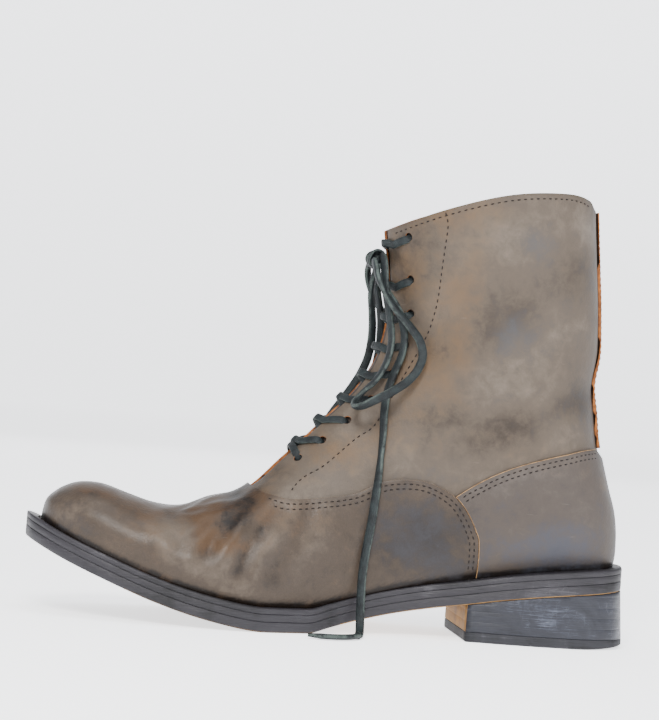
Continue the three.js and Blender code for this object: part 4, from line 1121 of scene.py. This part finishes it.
def plate(bm, low, high, edge, end=len(SOLE_OUTLINE) - 1.0, flare=0.0):
    """A plate between two heights. edge is a list of steps outwards and shares of the thickness, from the
    bottom to the top. The plate is closed along its middle line."""
    loop, middle, shares = sole_loop(end)
    normals = outward(loop)
    reach = np.clip(loop[:, 0], loop[:, 0].min() + 14, loop[:, 0].max() - 14)
    spine = np.stack([reach, middle], -1)
    rings = []
    for out, lift in edge:
        ring = loop + normals * out
        z = low(ring[:, 0]) * (1 - lift) + high(ring[:, 0]) * lift
        splay = flare * (1 - z / HEEL_LIFT) * np.clip(1 - shares / FLARE_REACH, 0, 1)
        ring = ring - np.stack([splay, 0 * z], -1)
        rings.append(np.column_stack([ring, z]))
    steps = (0.04, 0.12, 0.3, 0.55, 0.8, 1)
    under = [rings[0][:, :2] * (1 - k) + spine * k for k in steps]
    over = [rings[-1][:, :2] * (1 - k) + spine * k for k in steps]
    under = [np.column_stack([flat, low(flat[:, 0])]) for flat in under[::-1]]
    over = [np.column_stack([flat, high(flat[:, 0])]) for flat in over]
    loft(bm, np.array(under + rings + over))


def streaked(name, dark, base, light, roughness, lines=2600, patches=26, shine=0.25):
    """A dyed, burnished sole edge: level streaks from its leather layers, paler where it has been rubbed."""
    material, tree, shader, place = new_material(name, 0.3)
    level = node(tree, "ShaderNodeMapping", Vector=place, Scale=(0.03, 0.03, 1))
    streaks = noise(tree, level.outputs["Vector"], lines, 3, 0.7)
    clouds = noise(tree, place, patches, 4, 0.6, 0.8)
    value = plus(tree, times(tree, streaks, 0.55), times(tree, clouds, 0.75))
    colour = mix_colour(tree, ramp(tree, value, 0.42, 0.66), dark, base)
    colour = mix_colour(tree, ramp(tree, value, 0.7, 0.95), colour, light)
    nicks = node(tree, "ShaderNodeTexVoronoi", feature="DISTANCE_TO_EDGE", Vector=place, Scale=240)
    scrape = times(tree, ramp(tree, nicks.outputs["Distance"], 0.03, 0.0), ramp(tree, clouds, 0.5, 0.7))
    colour = mix_colour(tree, times(tree, scrape, 0.3), colour, light)
    gloss = ramp(tree, value, 0.4, 0.9, roughness, roughness - shine)
    surface(tree, shader, colour, gloss, combine(tree, "SUBTRACT", streaks, scrape), 0.5, 0.0003)
    return material


sole_edge = streaked("sole edge", tint(12, 11, 12), tint(34, 32, 36), tint(72, 70, 74), 0.62)
heel_edge = streaked("heel edge", tint(14, 14, 17), tint(33, 34, 41), tint(80, 85, 98), 0.55, 3400, 40)
tan_leather = simple_leather("natural sole leather", tint(100, 70, 34), tint(156, 120, 72), 0.6, 60,
                             0.00015)
tread = simple_leather("worn underside", tint(34, 27, 22), tint(86, 66, 46), 0.75, 46, 0.0002)
rubber = streaked("heel rubber", tint(16, 16, 18), tint(34, 34, 38), tint(70, 70, 76), 0.75, 900, 60, 0.1)


def turned(bm, slot, test):
    """Give the faces that pass the test a material slot of their own."""
    for face in bm.faces:
        if test(face.normal, face.calc_center_median()):
            face.material_index = slot


# Edge profiles as steps outwards at shares of the thickness. The joints between the layers are hardly seen.
OUTSOLE_EDGE = [(-1.0, 0), (-0.5, 0.02), (-0.15, 0.1), (0, 0.24), (0.04, 0.5), (0, 0.93), (-0.16, 0.985),
                (-0.5, 1)]
TAN_END = 112  # how far forward the underside is left natural
MIDSOLE_EDGE = [(-0.5, 0), (-0.2, 0.02), (-0.06, 0.08), (-0.02, 0.5), (-0.06, 0.92), (-0.22, 0.98), (-0.5, 1)]
HEEL_EDGE = [(-0.6, 0), (-0.15, 0.08), (0, 0.25), (0.02, 0.6), (0, 0.93), (-0.14, 0.985), (-0.5, 1)]


def outsole_top(x):
    return underside(x) + OUTSOLE_THICK


def midsole_foot(x):
    return outsole_top(x) + FIT_GAP


outsole = bmesh.new()
plate(outsole, underside, lambda x: outsole_top(x) + 0.9 * FIT_GAP, OUTSOLE_EDGE)
outsole.normal_update()
turned(outsole, 1, lambda n, c: n.z < -0.6 and c.x > TAN_END)
turned(outsole, 2, lambda n, c: n.z < -0.6 and c.x <= TAN_END)
add_piece("outsole_plate", outsole, [sole_edge, tread, tan_leather], ["outsole"])

midsole = bmesh.new()
plate(midsole, midsole_foot, lambda x: seat(x) - 0.1 * FIT_GAP, MIDSOLE_EDGE)
add_piece("midsole_plate", midsole, [sole_edge], ["midsole"])


# The welt, a strip round the foot outside the upper, with a groove for its stitches.
def foot_line(height=2.0, grow=0.0):
    """The last's plan outline a little above the seat, one line up the inner side and one up the outer."""
    back = np.linspace(18, 23, 500)
    heel_line = last(back, np.zeros(500))
    end = back[np.argmax(heel_line[:, 2] - seat(heel_line[:, 0]) > height)]
    places = np.concatenate([np.linspace(-0.72, 18, 200), np.linspace(18, end, 40)[1:]])
    rounds = np.linspace(0.0, 0.6, 200)
    lines = []
    for side in (1, -1):
        line = []
        for place in places:
            turn = rounds if side > 0 else 2 - rounds
            ring = last(np.full(len(turn), place), turn)
            above = ring[:, 2] - seat(ring[:, 0]) - height
            k = int(np.argmax(above > 0))
            line.append(ring[k, :2] + last_normal(np.array([place]), turn[k:k + 1])[0, :2] * grow)
        lines.append(np.array(line))
    return lines


def inward_reach(loop, normals, wall):
    """How far each point of the outline is from the foot, straight inwards."""
    reach = np.full(len(loop), 14.0)
    for a, b in zip(wall[:-1], wall[1:]):
        run = b - a
        cross = normals[:, 0] * run[1] - normals[:, 1] * run[0]
        safe = np.where(np.abs(cross) < 1e-9, 1e-9, cross)
        gap = loop - a
        t = (run[0] * gap[:, 1] - run[1] * gap[:, 0]) / safe
        s = (normals[:, 0] * gap[:, 1] - normals[:, 1] * gap[:, 0]) / safe
        hit = (s >= -0.01) & (s <= 1.01) & (t > 0)
        reach = np.where(hit & (t < reach), t, reach)
    return reach


loop = sole_loop()[0]
normals = outward(loop)
inner_side, outer_side = foot_line(2.0, 2.0)
wall = np.vstack([inner_side[::-1], outer_side, inner_side[-1:]])
reach = inward_reach(loop, normals, wall)
for _ in range(3):
    reach[:-1] = (np.roll(reach[:-1], 1) + 2 * reach[:-1] + np.roll(reach[:-1], -1)) / 4
reach[-1] = reach[0]
reach = np.clip(reach, 0.9, 12)
WELT_EDGE = [(-0.6, 0), (-0.25, 0.02), (-0.1, 0.08), (-0.02, 0.45), (-0.1, 0.7), (-0.4, 0.92), (-1.0, 1)]
inner = loop - normals * reach[:, None]


def welt_ring(flat, lift):
    return np.column_stack([flat, seat(flat[:, 0]) + WELT_THICK * lift])


rings = [welt_ring(inner, 0)]
for out, lift in WELT_EDGE:
    rings.append(welt_ring(loop + normals * np.maximum(out, -reach + 0.3)[:, None], lift))
WELT_GROOVE = [(0.34, 1.0), (0.48, 0.97), (0.56, 0.85), (0.68, 0.85), (0.8, 0.97)]
for share, lift in WELT_GROOVE:
    rings.append(welt_ring(loop + normals * (-1.1 * (1 - share) - reach * share)[:, None], lift))
rings.append(welt_ring(inner, 0.98))
rings.append(rings[0])
welt = bmesh.new()
loft(welt, np.array(rings))
add_piece("welt_strip", welt, [sole_edge], ["welt"])
stitch_line = (loop + normals * (-1.1 * 0.55 - reach * 0.45)[:, None])[:-1]

# The heel: stacked lifts, hardly parted by fine joints, on a rubber top piece that is worn at its back.
TOP_PIECE_THICK = 4.8
LIFT_COUNT = 5
LIFT_THICK = 5.4
LIFT_EDGE = [(0, 0.6), (0.03, 2.7), (0, 5.1), (-0.1, 5.35), (-0.1, 5.45), (0, 5.65)]
HEEL_WEAR = 2.2
HEEL_WEAR_REACH = 26
outline_places = np.linspace(0, len(SOLE_OUTLINE) - 1, 4000)
outline_shares = rows_at(SOLE_OUTLINE, outline_places)[:, 0]
breast_row = float(np.interp(HEEL_LENGTH / SOLE_LENGTH, outline_shares, outline_places))


def heel_wear(x):
    return HEEL_WEAR * np.clip(1 - (x - HEEL_BACK) / HEEL_WEAR_REACH, 0, 1) ** 1.5


top_piece = bmesh.new()
plate(top_piece, heel_wear, lambda x: 0 * x + TOP_PIECE_THICK + 0.9 * FIT_GAP, HEEL_EDGE, breast_row,
      HEEL_FLARE)
top_piece.normal_update()
add_piece("top_piece", top_piece, [rubber], ["heel_top_piece"])

stack_foot = TOP_PIECE_THICK + FIT_GAP
stack = bmesh.new()
loop, middle, shares = sole_loop(breast_row)
normals = outward(loop)
levels = [(-0.4, stack_foot), (-0.12, stack_foot + 0.1)]
for i in range(LIFT_COUNT):
    foot = stack_foot + i * LIFT_THICK
    levels += [(out, foot + z) for out, z in LIFT_EDGE]
top = underside(loop[:, 0]) - 0.05
rings = []
for out, z in levels:
    z = np.minimum(z, top)
    moved = loop + normals * np.where(z < top, out, -0.2)[:, None]
    moved[:, 0] -= HEEL_FLARE * (1 - z / HEEL_LIFT) * np.clip(1 - shares / FLARE_REACH, 0, 1)
    rings.append(np.column_stack([moved, z]))
spine = np.stack([np.clip(loop[:, 0], -27, 30), middle], -1)
under = [np.column_stack([rings[0][:, :2] * (1 - k) + spine * k, np.full(len(loop), stack_foot)])
         for k in (1, 0.8, 0.5, 0.2)]
over = []
for k in (0.1, 0.3, 0.55, 0.8, 1):
    flat = rings[-1][:, :2] * (1 - k) + spine * k
    over.append(np.column_stack([flat, underside(flat[:, 0]) - FIT_GAP]))
loft(stack, np.array(under + rings + over))
stack.normal_update()
turned(stack, 1, lambda n, c: n.x > 0.8)
add_piece("stacked_heel", stack, [heel_edge, tan_leather], ["heel_stack"])

# The insole, inside the upper.
near, far = foot_line(2.5, -2.8)
rings = []
for k in np.linspace(0, 1, 17):
    flat = near * (1 - k) + far * k
    rings.append(np.column_stack([flat, seat(flat[:, 0]) + 3 - 0.5 * abs(2 * k - 1) ** 6]))
inside = bmesh.new()
loft(inside, np.array(rings), loose=True)
bmesh.ops.recalc_face_normals(inside, faces=inside.faces)
if sum(face.normal.z for face in inside.faces) < 0:
    bmesh.ops.reverse_faces(inside, faces=inside.faces)
thicken(add_piece("inner_sole", inside, [lining] * 3, ["insole"]), 0.0028, 0.0004)


# Stitches: short waxed threads laid along lines on the last, each a small bead with pointed ends.
locate_places = np.linspace(-0.6, LAST_ROW, 330)
locate_rounds = np.linspace(0.01, 0.999, 170)
locate_grid = np.stack(np.meshgrid(locate_places, locate_rounds, indexing="ij"), -1).reshape(-1, 2)
locate_points = last(locate_grid[:, 0], locate_grid[:, 1])[:, [0, 2]]


def locate(line):
    """Places and rounds on the inner side of the last for points seen from the side."""
    line = np.asarray(line, float)
    found = np.array([locate_grid[np.argmin(((locate_points - p) ** 2).sum(1))] for p in line])
    for _ in range(6):
        here = last(found[:, 0], found[:, 1])[:, [0, 2]]
        a = (last(found[:, 0] + 0.01, found[:, 1])[:, [0, 2]] - here) / 0.01
        b = (last(found[:, 0], found[:, 1] + 0.001)[:, [0, 2]] - here) / 0.001
        gap = line - here
        size = a[:, 0] * b[:, 1] - a[:, 1] * b[:, 0]
        size = np.where(np.abs(size) < 1e-6, 1e-6, size)
        found[:, 0] += np.clip((gap[:, 0] * b[:, 1] - gap[:, 1] * b[:, 0]) / size, -0.3, 0.3)
        found[:, 1] += np.clip((a[:, 0] * gap[:, 1] - a[:, 1] * gap[:, 0]) / size, -0.02, 0.02)
        found[:, 0] = np.clip(found[:, 0], -0.9, LAST_ROW)
        found[:, 1] = np.clip(found[:, 1], 0.005, 0.999)
    return found


def moved_line(line, step):
    """A line in the side view, moved to its left by a step."""
    run = np.gradient(line, axis=0)
    run /= np.maximum(np.linalg.norm(run, axis=1, keepdims=True), 1e-9)
    return line + np.stack([-run[:, 1], run[:, 0]], -1) * step


def thread_line(bm, points, normals, gap=3.2, length=2.1, wide=0.8, high=0.5):
    """Lay a row of stitches along points that have normals."""
    both = even_steps(np.hstack([points, normals]), gap)
    row = bmesh.new()
    for start, end in zip(both[:-1], both[1:]):
        run = end[:3] - start[:3]
        run /= max(np.linalg.norm(run), 1e-9)
        up_way = start[3:] + end[3:]
        up_way -= run * (up_way @ run)
        up_way /= max(np.linalg.norm(up_way), 1e-9)
        side = np.cross(up_way, run)
        middle = (start[:3] + end[:3]) / 2
        turn = Matrix(np.column_stack([run, side, up_way])).to_4x4()
        size = Matrix.Diagonal((length / 2, wide / 2, high / 2, 1))
        shape = Matrix.Translation(middle) @ turn @ size
        bmesh.ops.create_icosphere(row, subdivisions=1, radius=1, matrix=shape)
    data = bpy.data.meshes.new("row")
    row.to_mesh(data)
    row.free()
    bm.from_mesh(data)
    bpy.data.meshes.remove(data)


def stitch_row(bm, line, height, **sizes):
    """The same row on both sides of the boot, at a height over the last."""
    found = locate(line)
    for side in (1, -1):
        rounds = found[:, 1] if side > 0 else 2 - found[:, 1]
        points = skin(found[:, 0], rounds, height)
        thread_line(bm, points, last_normal(found[:, 0], rounds), **sizes)


ON_SHAFT, ON_OVERLAY = 0.05, 1.85  # heights of the stitches over the last
DOUBLE_ROW = (2.2, 4.6)
stitches = bmesh.new()
collar_row = moved_line(collar_line, -2.9)
collar_row = collar_row[(collar_row[:, 0] > -6) & (collar_row[:, 0] < 94)]
stitch_row(stitches, collar_row, ON_SHAFT, gap=3.4)
for step in DOUBLE_ROW:
    vamp_row = moved_line(vamp_line, step)
    stitch_row(stitches, vamp_row[(vamp_row[:, 1] > 33) & (vamp_row[:, 0] < 150 - step)], ON_OVERLAY)
for step in DOUBLE_ROW:
    counter_row = moved_line(counter_line, -step)
    shown = (counter_row[:, 0] > -19) & (in_vamp(counter_row[:, [0, 1, 1]]) < -1.5)
    stitch_row(stitches, counter_row[shown], ON_OVERLAY)
FACING_ROW = [(70.3, 215.8), (68.2, 209.3), (68.5, 199.2), (69, 186.4), (69.3, 171.1), (71, 159.8),
              (73.8, 150.4), (83, 130), (95.4, 106.1), (103.6, 98.9), (111.6, 91.2), (121.1, 82.4),
              (129, 77.5), (133.7, 73), (136.3, 68.6)]
facing_row = rows_at(np.array(FACING_ROW), np.linspace(0, len(FACING_ROW) - 1, 120))
stitch_row(stitches, facing_row, ON_SHAFT, gap=3.4)
strip_heights = np.linspace(up_shaft(0.36), up_shaft(0.94), 60)
seam_places = np.linspace(19, LAST_ROW, 300)
strip_places = np.interp(strip_heights, last(seam_places, np.zeros(300))[:, 2], seam_places)
trial = np.linspace(0, 0.25, 60)
strip_rounds = np.array([float(np.interp(half, last(np.full(60, place), trial)[:, 1], trial))
                         for place, half in zip(strip_places, strip_half(strip_heights) - 1.4)])
for side in (1, -1):
    rounds = strip_rounds * side
    thread_line(stitches, skin(strip_places, rounds, ON_OVERLAY), last_normal(strip_places, rounds))
add_piece("seams", stitches, [thread])

# The welt's own seam, in its groove, from the waist round the toe.
WAIST = 30
welt_thread = bmesh.new()
stitch_points = np.column_stack([stitch_line, seat(stitch_line[:, 0]) + WELT_THICK * 0.9])
toe_end = len(stitch_points) // 2 + 5
for part in (stitch_points[:toe_end], stitch_points[toe_end:]):
    part = part[part[:, 0] > WAIST]
    upwards = np.tile([0.0, 0, 1], (len(part), 1))
    thread_line(welt_thread, part, upwards, gap=3.4, length=2.7, wide=1.1, high=1.5)
add_piece("welt_seam", welt_thread, [thread])
